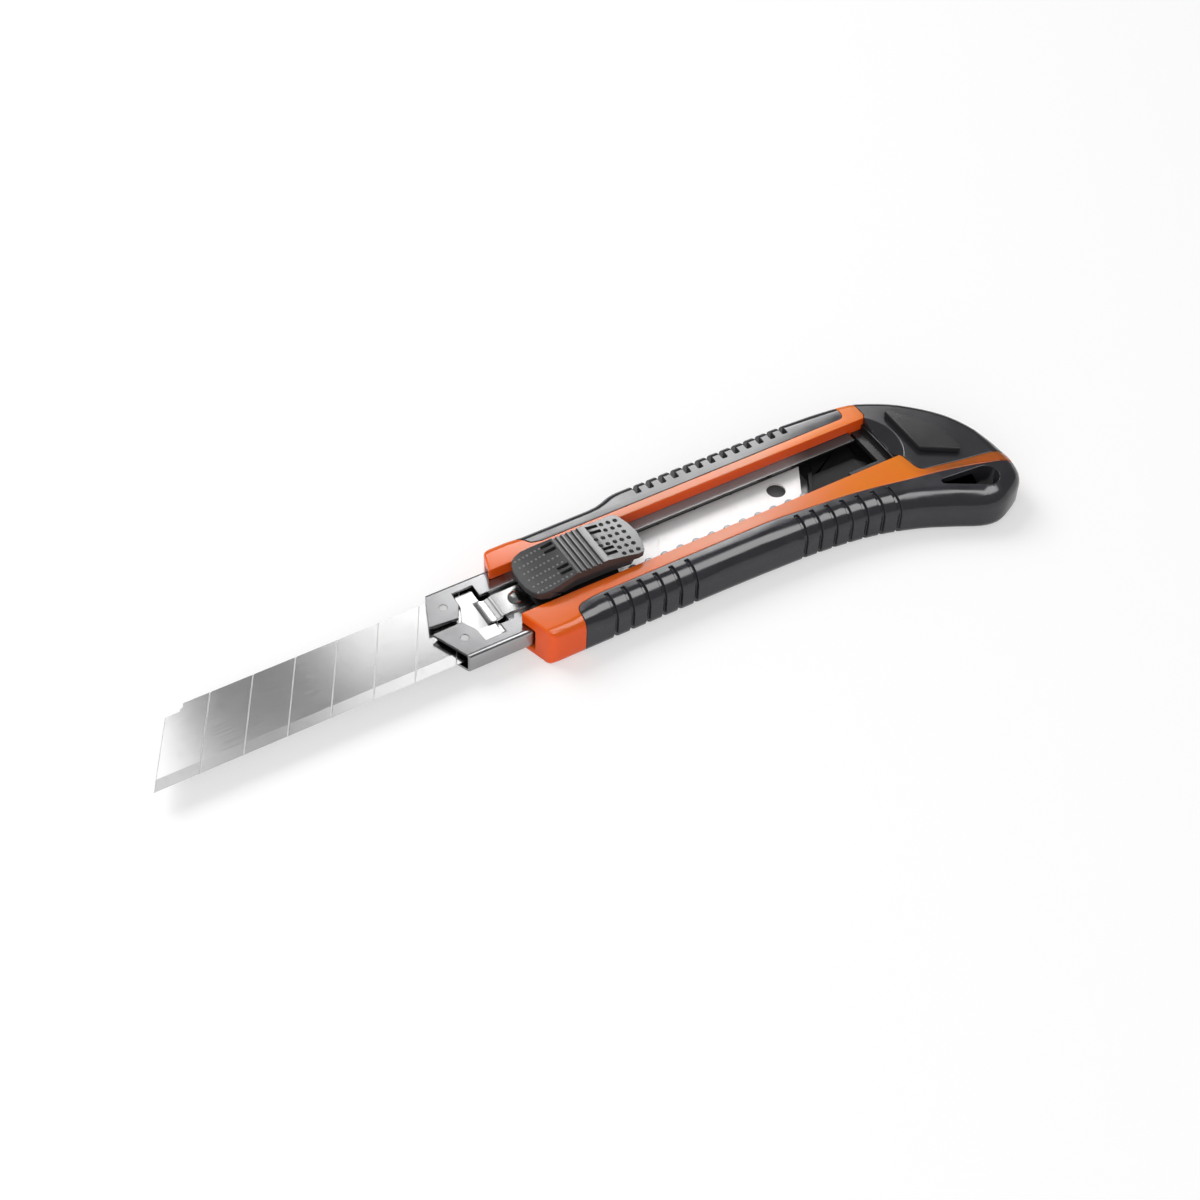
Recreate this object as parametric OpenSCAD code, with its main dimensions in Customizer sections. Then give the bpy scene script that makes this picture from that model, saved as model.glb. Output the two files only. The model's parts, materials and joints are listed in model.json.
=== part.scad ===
// Snap-off utility knife with an auto-lock thumb slider and a spare blade in the handle.
// X runs along the knife from the blade tip to the tail, Y across it with the cutting
// edge on the -Y side, and Z up. The origin is on the flat underside of the handle,
// below the blade's centre line.

/* [Blade] */
// Width of the blade, edge to spine
blade_w = 18; // [17:0.5:18.5]
// Thickness of the blade
blade_t = 0.5; // [0.4:0.05:0.6]
// Length of the blade along its edge
blade_l = 100; // [92:1:101]
// Spacing of the score lines
seg_pitch = 9.6; // [8:0.1:12]
// Angle between the score lines and the edge
snap_angle = 60; // [56:1:66]
// Width of the ground bevel
bevel_w = 2.6; // [1.5:0.1:4]
// Depth of the score lines
score_depth = 0.14; // [0.05:0.01:0.2]
// Width of the score lines
score_w = 0.3; // [0.15:0.05:0.5]
// Radius of the hole in the blade's tang
tang_hole_r = 2.2; // [1.8:0.1:2.5]
// Length of the spare blade along its edge
spare_l = 76; // [50:1:80]

/* [Steel channel] */
// Thickness of the channel's sheet
sheet_t = 0.7; // [0.5:0.1:0.8]
// Height of the channel over its lips
channel_h = 5.15; // [4.9:0.05:5.6]
// Length of the channel that stands out of the handle
nose_l = 18; // [17:0.5:22]
// How far the nose's point leads its corners
nose_point = 4; // [2:0.5:6]
// Width of the gap between the two nose plates
nose_gap = 1.3; // [0.6:0.1:1.6]
// Half width of the T-shaped cut-out behind the nose plates
tee_half = 7.5; // [6.5:0.1:8]
// Length of the T-shaped cut-out
tee_l = 5; // [4:0.1:6]
// Distance of the far lip's edge from the centre line
far_lip = 4.3; // [4.1:0.1:4.8]
// Distance of the toothed lip's edge from the centre line
near_lip = 5; // [4.9:0.1:5.3]
// Radius of the half-round teeth
tooth_r = 1.1; // [0.8:0.05:1.15]
// Spacing of the teeth
tooth_pitch = 4.05; // [3.6:0.05:4.5]
// Number of teeth
tooth_n = 19; // [10:1:21]

/* [Handle] */
// Height of the handle, underside to top of the rails
body_h = 10.2; // [9.8:0.1:11]
// Thickness of the floor below the channel
floor_t = 2; // [1.6:0.1:2.4]
// Near side of the handle, from the centre line
near_w = 15.75; // [15:0.25:17]
// Far side of the handle at its notched grip, from the centre line
far_w = 15; // [14.2:0.1:15.6]
// Width of the thumb slot between the rails
slot_w = 13.8; // [13.5:0.1:14.2]
// Length of the thumb slot
slot_l = 97.2; // [96:0.5:104]
// Length of the tail behind the thumb slot
tail_l = 23; // [22:0.2:25]
// Drop of the tail's beak below the near side
beak_drop = 12.6; // [11:0.1:14]
// Radius along the top edges of the handle
top_r = 2.3; // [1.5:0.1:2.8]
// Radius along the near grip's top edge
grip_r = 4.2; // [2.5:0.1:4.6]
// Radius along the bottom edges of the handle
bottom_r = 2.1; // [1.2:0.1:2.4]
// Radius of the lanyard hole's wide end
lanyard_r = 2.9; // [2.9:0.05:3.2]

/* [Soft grips] */
// Thickness of the soft grips
skin_t = 1.6; // [1.2:0.1:1.8]
// Thickness of the tail cover on the handle's top
cover_t = 3.2; // [2.8:0.1:3.6]
// Distance of the near grip's inner border from the centre line
near_border = 10; // [9.7:0.1:10.8]
// Distance of the far grip's inner border from the centre line
far_border = 9.2; // [8.9:0.1:10]
// Depth of the near grip's grooves
groove_d = 0.7; // [0.4:0.05:1]
// Width of the near grip's grooves
groove_w = 0.9; // [0.6:0.05:1.2]
// Spacing of the near grip's grooves in the front group
groove_front_pitch = 4; // [3.4:0.02:4.2]
// Spacing of the near grip's grooves in the rear group
groove_rear_pitch = 3.78; // [3:0.02:4]
// Number of grooves in the front group
groove_front_n = 6; // [3:1:8]
// Number of grooves in the rear group
groove_rear_n = 7; // [3:1:7]
// Spacing of the far grip's notches
notch_pitch = 3.23; // [2.8:0.01:3.4]
// Number of the far grip's notches
notch_n = 13; // [6:1:14]
// Width of the far grip's notches
notch_w = 1.2; // [0.8:0.05:1.5]
// Depth of the far grip's notches
notch_d = 1.3; // [0.6:0.05:1.3]
// How far the notches reach in from the far side at the top
notch_reach = 3.6; // [2.5:0.1:4]
// Height of the pad on the tail cover
pad_h = 1.5; // [0.8:0.1:1.7]

/* [Slider] */
// Travel of the slider from blade out to blade in
slider_travel = 69; // [50:1:70]
// Length of the slider's base
base_l = 19.8; // [18.5:0.1:20.2]
// Travel of the thumb button when pressed
press_travel = 0.8; // [0.4:0.1:0.9]
// Height of the button's ribbed middle above the rails
button_rise = 3.6; // [3:0.1:4.4]
// Half width of the button's ribbed middle
button_mid_half = 5.75; // [5.2:0.05:6]
// Half width of the button's ends
button_end_half = 6.5; // [6:0.05:6.6]
// Thickness of the button's shell
button_t = 1.1; // [0.9:0.05:1.2]
// Radius of the button's guide posts
post_r = 1.2; // [0.9:0.05:1.4]
// Number of ribs across the button
button_rib_n = 5; // [3:1:6]

/* [Fits] */
// Running clearance between the slider's parts and the channel
run_gap = 0.3; // [0.2:0.05:0.35]
// Clearance between parts that are seated in each other
seat_gap = 0.05; // [0.02:0.01:0.1]
// Radial clearance of pins and posts
pin_gap = 0.05; // [0.02:0.01:0.09]

/* [Hidden] */

smooth = 48;                       // facets that OpenSCAD draws on round features
over = 1;                          // how far cutting solids overshoot

// Places along X
front_x = -51;                     // inner corner of the handle's front end
nose_x = front_x - nose_l;         // point of the channel's nose
slot_end = front_x + slot_l;       // rear wall of the thumb slot
tail_x = slot_end + tail_l;        // end of the tail
channel_end = slot_end - 3.8;      // rear end of the channel

// Blade and channel, across and up
lean = 1 / tan(snap_angle);        // run along X for each step across the blade
half_blade = blade_w / 2;
base_x = front_x + 2.8;            // the slider's parts are placed from here
hole_back = 6.5;                   // the tang's hole lies this far ahead of its rear end
hole_side = 1.6;                   // and this far off the centre line
stud_x = base_x + 12.8;            // stud of the slider that the blade hangs on
tip_x = stud_x - tang_hole(0, blade_l);
side_gap = 0.35;                   // play at each side of the blade
channel_half = half_blade + side_gap + sheet_t;
channel_top = floor_t + channel_h;
inner_half = channel_half - sheet_t;
inner_floor = floor_t + sheet_t;
lip_under = channel_top - sheet_t;
spring_room = 1.35;                // height of the bowed spring below the spare
spare_z = inner_floor + spring_room;
blade_z = spare_z + blade_t + run_gap + 0.05;
blade_top = blade_z + blade_t;

// Handle
slot_half = slot_w / 2;
rail_h = body_h - channel_top;     // height of the rails above the channel
trough_half = channel_half + seat_gap;
front_step = 1.75;                 // the far side is this much slimmer in front

// ---------- curves and the handle's outline ----------

// Point at t between p1 and p2 on a smooth curve that also passes p0 and p3
function blend_point(p0, p1, p2, p3, t) =
    0.5 * (2 * p1 + (p2 - p0) * t + (2 * p0 - 5 * p1 + 4 * p2 - p3) * t * t
    + (3 * p1 - p0 - 3 * p2 + p3) * t * t * t);

// Smooth curve through all the points but the first and the last
function curve(p, steps) = [
    for (i = [1 : len(p) - 3])
        for (s = [0 : steps - 1])
            blend_point(p[i - 1], p[i], p[i + 1], p[i + 2], s / steps),
    p[len(p) - 2]];

// Near side, beak and tail, back to the far side, through a few guiding points
tail_guides = [
    [front_x + 20, -near_w],
    [slot_end - 52, -near_w - 0.01 * beak_drop],
    [slot_end - 38, -near_w - 0.033 * beak_drop],
    [slot_end - 26, -near_w - 0.08 * beak_drop],
    [slot_end - 14, -near_w - 0.21 * beak_drop],
    [slot_end - 4, -near_w - 0.448 * beak_drop],
    [slot_end + 0.155 * tail_l, -near_w - 0.726 * beak_drop],
    [slot_end + 0.393 * tail_l, -near_w - 0.944 * beak_drop],
    [slot_end + 0.574 * tail_l, -near_w - beak_drop],
    [slot_end + 0.748 * tail_l, -near_w - 0.893 * beak_drop],
    [slot_end + 0.924 * tail_l, -near_w - 0.687 * beak_drop],
    [tail_x, -near_w - 0.325 * beak_drop],
    [slot_end + 0.987 * tail_l, -0.946 * near_w],
    [slot_end + 0.939 * tail_l, -0.648 * near_w],
    [slot_end + 0.841 * tail_l, -0.229 * near_w],
    [slot_end + 0.696 * tail_l, 0.117 * far_w],
    [slot_end + 0.448 * tail_l, 0.5 * far_w],
    [slot_end + 0.226 * tail_l, 0.723 * far_w],
    [slot_end, 0.88 * far_w],
    [slot_end - 7, 0.947 * far_w],
    [slot_end - 12, 0.975 * far_w],
    [slot_end - 20, far_w],
    [slot_end - 28, far_w]];

lead = 6;                          // the outline starts this far before the front end

outline = concat(
    [[front_x - lead, -near_w], [front_x + 8, -near_w], [front_x + 15, -near_w]],
    curve(tail_guides, 3),
    [[front_x + 36, far_w], [front_x + 34.5, far_w - 0.1], [front_x + 33, far_w - 0.4],
     [front_x + 31, far_w - 1.15], [front_x + 29.2, far_w - 1.6],
     [front_x + 27, far_w - front_step], [front_x + 11, far_w - front_step],
     [front_x + 7, far_w - front_step + 0.35], [front_x - lead, far_w - front_step + 0.35]]);

corner_i = 3 + 3 * 9;              // number of the outline's point at the tail's lower corner

// Outward direction at point i of a closed counter-clockwise outline
function unit(v) = v / norm(v);
function turned(v) = [v[1], -v[0]];
function outward(p, i) =
    let (n = len(p), a = unit(p[i] - p[(i + n - 1) % n]), b = unit(p[(i + 1) % n] - p[i]))
    unit(turned(a) + turned(b)) / max(0.7, cos(acos(min(1, a * b)) / 2));

// The outline moved inwards by d, and by a share of d that differs from point to point
function inset(p, d) = [for (i = [0 : len(p) - 1]) p[i] - d * outward(p, i)];
function inset_by(p, share, r) = [for (i = [0 : len(p) - 1]) p[i] - share * r[i] * outward(p, i)];

// Radius of the top edge at each point: larger along the near grip and round the beak
function part_of(v, low, high) = max(0, min(1, (v - low) / (high - low)));
edge_r = [for (p = outline)
    top_r + (grip_r - top_r) * min(part_of(p[0], front_x + 8, front_x + 15),
                                   part_of(-p[1], 0.5 * near_w, near_w))];

// Rings of the rounded body from the underside to the top
floor_rings = [for (a = [0, 30, 60, 90])
    let (q = inset(outline, bottom_r * (1 - sin(a))))
    [for (c = q) [c[0], c[1], bottom_r * (1 - cos(a))]]];
top_rings = [for (a = [90, 68, 45, 22, 0])
    let (q = inset_by(outline, 1 - sin(a), edge_r))
    [for (i = [0 : len(q) - 1]) [q[i][0], q[i][1], body_h - edge_r[i] * (1 - cos(a))]]];

// Whole handle as one rounded form, with square ends still to be cut at the front
module rounded_form() {
    n = len(outline);
    rings = concat(floor_rings, top_rings);
    m = len(rings);
    walls = [
        for (k = [0 : m - 2])
            for (i = [0 : n - 1])
                let (j = (i + 1) % n)
                each [[k * n + i, (k + 1) * n + i, (k + 1) * n + j],
                      [k * n + i, (k + 1) * n + j, k * n + j]]];
    // rungs across the handle, from the tail's lower corner forward, and a fan over the front
    // divide its underside and its top into plain triangles
    top = (m - 1) * n;
    last = 2 * corner_i + 1;
    floor_faces = concat(
        [for (i = [0 : corner_i - 1])
            each [[i, i + 1, last - i], [i + 1, last - i - 1, last - i]]],
        [for (k = [last : n - 2]) [0, k, k + 1]]);
    top_faces = [for (f = floor_faces) [top + f[2], top + f[1], top + f[0]]];
    polyhedron(points = [for (r = rings) each r], faces = concat(floor_faces, walls, top_faces),
               convexity = 6);
}

// Prism from z0 to z1 over a list of points
module slab(points, z0, z1) {
    translate([0, 0, z0]) linear_extrude(z1 - z0) polygon(points);
}

// Box between two corners
module block(low, high) {
    translate(low) cube(high - low);
}

// Profile drawn in Y and Z, drawn out along X from x0 to x1
module along_x(x0, x1) {
    translate([x0, 0, 0]) rotate([90, 0, 90]) linear_extrude(x1 - x0) children();
}

// Profile drawn in X and Z, drawn out along Y from y0 to y1
module along_y(y0, y1) {
    translate([0, y1, 0]) rotate([90, 0, 0]) linear_extrude(y1 - y0) children();
}

// Points of an arc around c
function arc(c, r, from, to, steps) = [
    for (i = [0 : steps]) let (a = from + (to - from) * i / steps) c + r * [cos(a), sin(a)]];

// Rectangle with round corners, from low to high
module round_rect(low, high, r) {
    translate([low[0] + r, low[1]]) square([high[0] - low[0] - 2 * r, high[1] - low[1]]);
    translate([low[0], low[1] + r]) square([high[0] - low[0], high[1] - low[1] - 2 * r]);
    for (x = [low[0] + r, high[0] - r])
        for (y = [low[1] + r, high[1] - r])
            translate([x, y]) circle(r, $fn = smooth);
}

// The front end leans back towards both sides, with a rounded upright corner at each
front_lean = 1.7;
front_lip = 0.3;                    // the middle of the front end stands this far ahead
front_r = 2.6;

module handle_form() {
    far_front = far_w - front_step;
    near_corner = [for (a = [0 : 15 : 90])
        [front_x + front_lean + front_r * (1 - cos(a)), -near_w + front_r * (1 - sin(a))]];
    far_corner = [for (a = [90 : -15 : 0])
        [front_x + front_lean / 2 + front_r * (1 - cos(a)), far_front - front_r * (1 - sin(a))]];
    intersection() {
        rounded_form();
        slab(concat(
            [[front_x - front_lip, slot_half], [front_x - front_lip, -slot_half]], near_corner,
            [[near_corner[6][0], -near_w - beak_drop - over], [tail_x + over, -near_w - beak_drop - over],
             [tail_x + over, far_w + over], [far_corner[0][0], far_w + over]],
            far_corner), -over, body_h + over);
    }
}

// ---------- borders of the soft grips ----------

near_grip_x = front_x + 10.6;
far_grip_x = front_x + 9.4;
far_grip_end = slot_end - 3.7;
corner_r = 1.5;

border_guides = [
    [slot_end - 55, -near_border], [slot_end - 45, -near_border],
    [slot_end - 36, -near_border - 0.1], [slot_end - 26, -near_border - 0.9],
    [slot_end - 17, -near_border - 1.8], [slot_end - 9.5, -near_border - 3],
    [slot_end - 2.5, -near_border - 4.4], [slot_end + 5, -near_border - 5.75],
    [slot_end + 12, -near_border - 7.45], [slot_end + 19, -near_border - 9.5],
    [tail_x + 5, -near_border - 12.2], [tail_x + 14, -near_border - 16]];
border_curve = curve(border_guides, 3);

near_zone = concat(
    [[near_grip_x, -near_w - beak_drop - 2 * over], [near_grip_x, -near_border - 2.8],
     [near_grip_x + 0.2, -near_border - 1.9], [near_grip_x + 0.8, -near_border - 1.1],
     [near_grip_x + 1.8, -near_border - 0.55], [near_grip_x + 4.2, -near_border - 0.15],
     [near_grip_x + 7, -near_border]],
    border_curve,
    [[tail_x + 5, -near_w - beak_drop - 2 * over]]);

far_zone = concat(
    [[far_grip_x, far_w + over], [far_grip_x, far_w - 2.2], [far_grip_x + 2.2, far_border + 0.6],
     [far_grip_x + 4.4, far_border], [far_grip_end - corner_r, far_border]],
    [for (a = [30, 60]) [far_grip_end - corner_r * (1 - sin(a)),
                         far_border + corner_r * (1 - cos(a))]],
    [[far_grip_end, far_border + corner_r], [far_grip_end, far_w + over]]);

stripe_top = curve([
    [slot_end, -7], [slot_end + 0.7, -10.1], [slot_end + 1.1, -12.1], [slot_end + 2.3, -13.3],
    [slot_end + 5.5, -13.9], [slot_end + 11, -15], [slot_end + 18.5, -16.2],
    [tail_x + 3, -18], [tail_x + 12, -20]], 3);

tail_zone = concat(
    [[slot_end, slot_half], [slot_end, -slot_half], [slot_end + 0.4, -slot_half - 1]],
    stripe_top,
    [[tail_x + 3, far_w + over], [slot_end + 0.6, far_w + over], [slot_end + 0.6, slot_half + 1]]);

// Hard core that the soft grips are moulded over, stepped back by shoulder along its top edge
module core(top_skin, shoulder = 0) {
    step = max(top_skin, shoulder);
    slab(inset(outline, skin_t), skin_t, body_h - step);
    slab(inset(outline, max(skin_t, shoulder)), skin_t, body_h - top_skin);
}

// The near grip also lines the lanyard hole, right through the core
module near_shell() {
    difference() {
        slab(near_zone, -over, body_h + over);
        difference() {
            core(skin_t, 0.78 * grip_r);
            lanyard_hole(hole_lining);
        }
    }
}

// The far grip is thicker where it is notched
module far_shell() {
    difference() {
        slab(far_zone, -over, body_h + over);
        difference() {
            core(skin_t);
            block([notch_x - 2, far_w - notch_reach - 0.5, -over],
                  [far_grip_end - 11, far_w + over, body_h + over]);
        }
    }
}

module tail_shell() {
    difference() {
        slab(tail_zone, -over, body_h + over);
        core(cover_t);
    }
}

// Teardrop lanyard hole through the beak
hole_x = slot_end + 0.576 * tail_l;
hole_y = -near_w - 0.47 * beak_drop;
hole_tail_r = 0.8;
hole_tail = [hole_x - 9.2, hole_y + 3];
hole_lining = 0.9;                 // thickness of the soft lining around it

module lanyard_hole(more = 0) {
    d = hole_tail - [hole_x, hole_y];
    away = atan2(d[1], d[0]);
    open = acos((lanyard_r - hole_tail_r) / norm(d));
    big = lanyard_r + more;
    small = hole_tail_r + more;
    rim_a = [for (s = [1, -1]) [cos(away + s * open), sin(away + s * open)]];
    translate([hole_x, hole_y, -over]) cylinder(r = big, h = body_h + 2 * over, $fn = smooth);
    translate([hole_tail[0], hole_tail[1], -over])
        cylinder(r = small, h = body_h + 2 * over, $fn = smooth);
    slab([[hole_x, hole_y] + big * rim_a[0], hole_tail + small * rim_a[0],
          hole_tail + small * rim_a[1], [hole_x, hole_y] + big * rim_a[1]],
         -over, body_h + over);
}

// ---------- handle ----------

shelf_z = blade_top + run_gap;     // underside of the shelf behind the channel
shelf_top = channel_top - 0.15;
shelf_x = channel_end + 0.6;
ledge_x = slot_end - 11.2;         // the shelf's near ledge starts here
ledge_y = -3.55;
liner_t = 0.5;
mouth_gap = 0.45;                  // wider mouth around the channel at the front end
mouth_l = 1.6;

module housing() {
    color("darkorange") difference() {
        handle_form();
        near_shell();
        far_shell();
        tail_shell();
        // trough for the channel, and room for the tang behind it
        block([front_x - lead, -trough_half, floor_t], [channel_end + seat_gap, trough_half,
              channel_top + seat_gap]);
        block([channel_end, -trough_half, floor_t], [slot_end, trough_half, shelf_z]);
        block([channel_end, -slot_half, floor_t], [slot_end, slot_half, body_h + over]);
        block([front_x - lead, -trough_half - mouth_gap, floor_t - mouth_gap],
              [front_x + front_lean + mouth_l, trough_half + mouth_gap, channel_top + seat_gap]);
        // thumb slot
        block([front_x - lead, -slot_half, channel_top], [slot_end, slot_half, body_h + over]);
        lanyard_hole();
    }
}

// Band around the handle at x, cut d deep from y0 outwards, on the side of sign s. The bottom
// of the groove follows the handle's edges, of radius high_r above and low_r below.
module groove(x, w, d, y0, side_y, s, high_r) {
    inner = abs(side_y) - d;
    low_r = bottom_r - d + 0.2;
    rim = concat(arc([inner - low_r, d + low_r], low_r, -90, 0, 4),
                 arc([inner - high_r, body_h - d - high_r], high_r, 0, 90, 6));
    along_x(x - w / 2, x + w / 2)
        polygon([for (c = concat([[y0, -over], [y0, d]], rim,
                                 [[y0, body_h - d], [y0, body_h + over], [40, body_h + over],
                                  [40, -over]])) [s * c[0], c[1]]]);
}

// Near side of the outline at x, read off the guiding points
function near_at(x, i = 1) =
    x < tail_guides[i + 1][0] || i > 8
    ? let (t = max(0, (x - tail_guides[i][0]) / (tail_guides[i + 1][0] - tail_guides[i][0])))
        tail_guides[i][1] + t * (tail_guides[i + 1][1] - tail_guides[i][1])
    : near_at(x, i + 1);

// Notch in the far grip at x, deepest at its top
module notch(x) {
    rear = far_w - notch_d;
    along_x(x - notch_w / 2, x + notch_w / 2)
        polygon([[far_w - notch_reach, body_h + over], [far_w - notch_reach, body_h - 1.7],
                 [rear - 0.8, body_h - 3.3], [rear, body_h - 4.6], [rear, -over],
                 [far_w + 3, -over], [far_w + 3, body_h + over]]);
}

groove_front_x = near_grip_x + 7.4;
groove_rear_x = slot_end - 31.2;
notch_x = far_grip_end - 14.9 - (notch_n - 1) * notch_pitch;

module near_grip() {
    color("#3a3a3f") difference() {
        intersection() {
            handle_form();
            near_shell();
        }
        for (k = [0 : groove_front_n - 1])
            groove(groove_front_x + k * groove_front_pitch, groove_w, groove_d, near_border + 0.8,
                   near_w, -1, grip_r - 0.6);
        for (k = [0 : groove_rear_n - 1])
            groove(groove_rear_x + k * groove_rear_pitch, groove_w, groove_d,
                   0.8 - lookup(groove_rear_x + k * groove_rear_pitch, border_guides),
                   near_at(groove_rear_x + k * groove_rear_pitch), -1, grip_r - 0.6);
        lanyard_hole();
    }
}

module far_grip() {
    color("#3a3a3f") difference() {
        intersection() {
            handle_form();
            far_shell();
        }
        for (k = [0 : notch_n - 1])
            notch(notch_x + k * notch_pitch);
    }
}

// Thumb relief: a shallow cone let into the cover's edge at the end of the slot
relief_r = 10.5;
relief_x = slot_end - 7.4;
relief_d = 2.2;

module tail_cover() {
    color("#2f2f33") difference() {
        intersection() {
            handle_form();
            tail_shell();
        }
        translate([relief_x, -0.8, body_h - relief_d])
            cylinder(r1 = relief_r - 2.7, r2 = relief_r, h = relief_d, $fn = smooth);
        translate([relief_x, -0.8, body_h]) cylinder(r = relief_r, h = over, $fn = smooth);
    }
}

pad_x = slot_end + 4.3;

pad_l = 0.37 * tail_l;
pad_top = 0.35 * far_w;
pad_low = -0.52 * near_w;

module tail_pad() {
    color("#2b2b2f") slab([
        [pad_x, pad_top], [pad_x, pad_low], [pad_x + 0.92 * pad_l, 1.6 * pad_low],
        [pad_x + pad_l, 1.51 * pad_low], [pad_x + 0.95 * pad_l, 0.5 * pad_low],
        [pad_x + 0.14 * pad_l, 0.97 * pad_top]], body_h, body_h + pad_h);
}

// Black liner of the pocket behind the channel: floor, back wall and a shelf over the tang's room
module rear_insert() {
    back = slot_end - seat_gap;
    color("#333338") union() {
        block([channel_end + 2 * seat_gap, -trough_half + seat_gap, floor_t],
              [back, trough_half - seat_gap, floor_t + liner_t]);
        block([back - liner_t, -slot_half + seat_gap, floor_t],
              [back, slot_half - seat_gap, body_h - relief_d + 0.3]);
        block([shelf_x, -slot_half + seat_gap, shelf_z], [back, slot_half - seat_gap, shelf_top]);
        block([ledge_x, -near_lip + seat_gap, shelf_top - 0.5], [back, ledge_y, shelf_top]);
    }
}

// ---------- steel channel ----------

bend_r = 1;
nose_flare = 0.8;                  // the gap between the nose plates widens this much in front
tee_x = nose_x + 8.9;              // front end of the T-shaped cut-out
tee_end = tee_x + tee_l;
tooth_x = nose_x + 18.2;           // first tooth

// Area in front of the pointed nose, to be cut away
module nose_cut(z0, z1) {
    reach = channel_half + over;
    back = nose_point * reach / channel_half;
    slab([[nose_x - 20, -reach], [nose_x + back, -reach], [nose_x, -nose_gap / 2],
          [nose_x, nose_gap / 2], [nose_x + back, reach], [nose_x - 20, reach]], z0, z1);
}

// Opening between the lips, seen from above
module lip_opening() {
    mid = nose_gap / 2;
    polygon([[nose_x - over, -mid - 0.1], [tee_x - 1.9, -mid], [tee_x - 0.1, -4.1], [tee_x, -tee_half],
             [tee_end, -tee_half], [tee_end, -near_lip], [channel_end + over, -near_lip],
             [channel_end + over, far_lip], [tee_end, far_lip], [tee_end, tee_half],
             [tee_x, tee_half], [tee_x - 0.1, 4.1], [tee_x - 1.9, mid],
             [nose_x - over, mid + nose_flare]]);
}

module blade_channel() {
    color("silver") difference() {
        along_x(nose_x - over, channel_end) difference() {
            round_rect([-channel_half, floor_t], [channel_half, channel_top], bend_r);
            round_rect([-inner_half, inner_floor], [inner_half, lip_under], bend_r - sheet_t);
        }
        nose_cut(floor_t - over, channel_top + over);
        translate([0, 0, lip_under - 0.01]) linear_extrude(sheet_t + over) difference() {
            lip_opening();
            for (k = [0 : tooth_n - 1])
                polygon(arc([tooth_x + k * tooth_pitch, -near_lip], tooth_r, 0, 360, 16));
        }
        for (s = [-1, 1])
            translate([rivet_x, s * rivet_y, lip_under - over])
                cylinder(r = rivet_r + seat_gap, h = sheet_t + 2 * over, $fn = smooth);
    }
}

// Steel plates riveted under the two nose plates, which hold the blade down
rivet_x = nose_x + 5.5;
rivet_y = 4.8;
rivet_r = 0.8;
guide_half = 6.6;
guide_end = tee_x - 2.1;
guide_z = blade_top + run_gap;

module guide_plate(s) {
    mid = nose_gap / 2 + (s > 0 ? nose_flare : 0.1);
    slope = nose_point / channel_half;
    layer = (lip_under - guide_z) / 2;
    // [setback from the nose, half width, underside, top] of each layer
    color("#8d9096") difference() {
        for (k = [[0.35, guide_half, guide_z + layer + 0.1, lip_under],
                  [1.1, guide_half - 1.4, guide_z, lip_under],
                  [0.7, guide_half - 1.2, guide_z, guide_z + layer - 0.05]])
            slab([[nose_x + k[0] + slope * mid, s * mid], [nose_x + k[0] + slope * k[1], s * k[1]],
                  [guide_end, s * k[1]], [guide_end, s * mid]], k[2], k[3]);
        translate([rivet_x, s * rivet_y, guide_z - over])
            cylinder(r = rivet_r + seat_gap, h = channel_h, $fn = smooth);
    }
}

module guide_plate_near() {
    guide_plate(-1);
}

module guide_plate_far() {
    guide_plate(1);
}

// Domed head that stands on a face at z = 0, with its shank going down
module dome_rivet(head_r, head_h, shank_r, shank_l) {
    translate([0, 0, -shank_l]) cylinder(r = shank_r, h = shank_l + head_h / 2, $fn = smooth);
    rotate_extrude($fn = smooth) polygon(concat([[0, 0]],
        [for (a = [0 : 30 : 90]) [head_r * cos(a), head_h * sin(a)]]));
}

module nose_rivets() {
    color("gainsboro") for (s = [-1, 1])
        translate([rivet_x, s * rivet_y, channel_top])
            dome_rivet(1.3, 0.45, rivet_r, channel_top - guide_z);
}

// ---------- blades ----------

// Corner of a blade's front end that is cut away beside the spine
corner_l = 3.4;
corner_w = 1.7;

// Blade whose edge starts at x, with its underside at z
module snap_blade(x, z, length) {
    run = blade_w * lean;
    count = floor((length - 2 * tang_hole_r - 14) / seg_pitch);
    difference() {
        intersection() {
            along_x(x - over, x + length + run + over) translate([0, z])
                polygon([[-half_blade, blade_t / 2], [-half_blade + bevel_w, 0], [half_blade, 0],
                         [half_blade, blade_t], [-half_blade + bevel_w, blade_t]]);
            slab([[x, -half_blade], [x + length, -half_blade], [x + length + run, half_blade],
                  [x + run, half_blade]], z - over, z + blade_t + over);
        }
        for (k = [1 : count])
            let (a = x + k * seg_pitch)
            slab([[a - lean, -half_blade - 1], [a - lean + score_w, -half_blade - 1],
                  [a + score_w + run + lean, half_blade + 1], [a + run + lean, half_blade + 1]],
                 z + blade_t - score_depth, z + blade_t + over);
        translate([tang_hole(x, length), hole_side, z - over])
            cylinder(r = tang_hole_r, h = blade_t + 2 * over, $fn = smooth);
        block([x + run - 3, half_blade - corner_w, z - over],
              [x + run + corner_l - 1, half_blade + over, z + blade_t + over]);
        translate([x + run + corner_l - 1, half_blade, z - over])
            cylinder(r = corner_w * 0.7, h = blade_t + 2 * over, $fn = smooth);
    }
}

// Centre of the tang's hole along X
function tang_hole(x, length) = x + length + (half_blade + hole_side) * lean - hole_back;

spare_end = channel_end - 22.9;    // rear end of the spare blade's edge
spare_x = spare_end - spare_l;

module blade() {
    color("gainsboro") snap_blade(tip_x, blade_z, blade_l);
}

module spare_blade() {
    color("lightgray") snap_blade(spare_x, spare_z, spare_l);
}

// Bowed leaf under the spare blade
leaf_t = 0.2;
leaf_half = 3;

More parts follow.
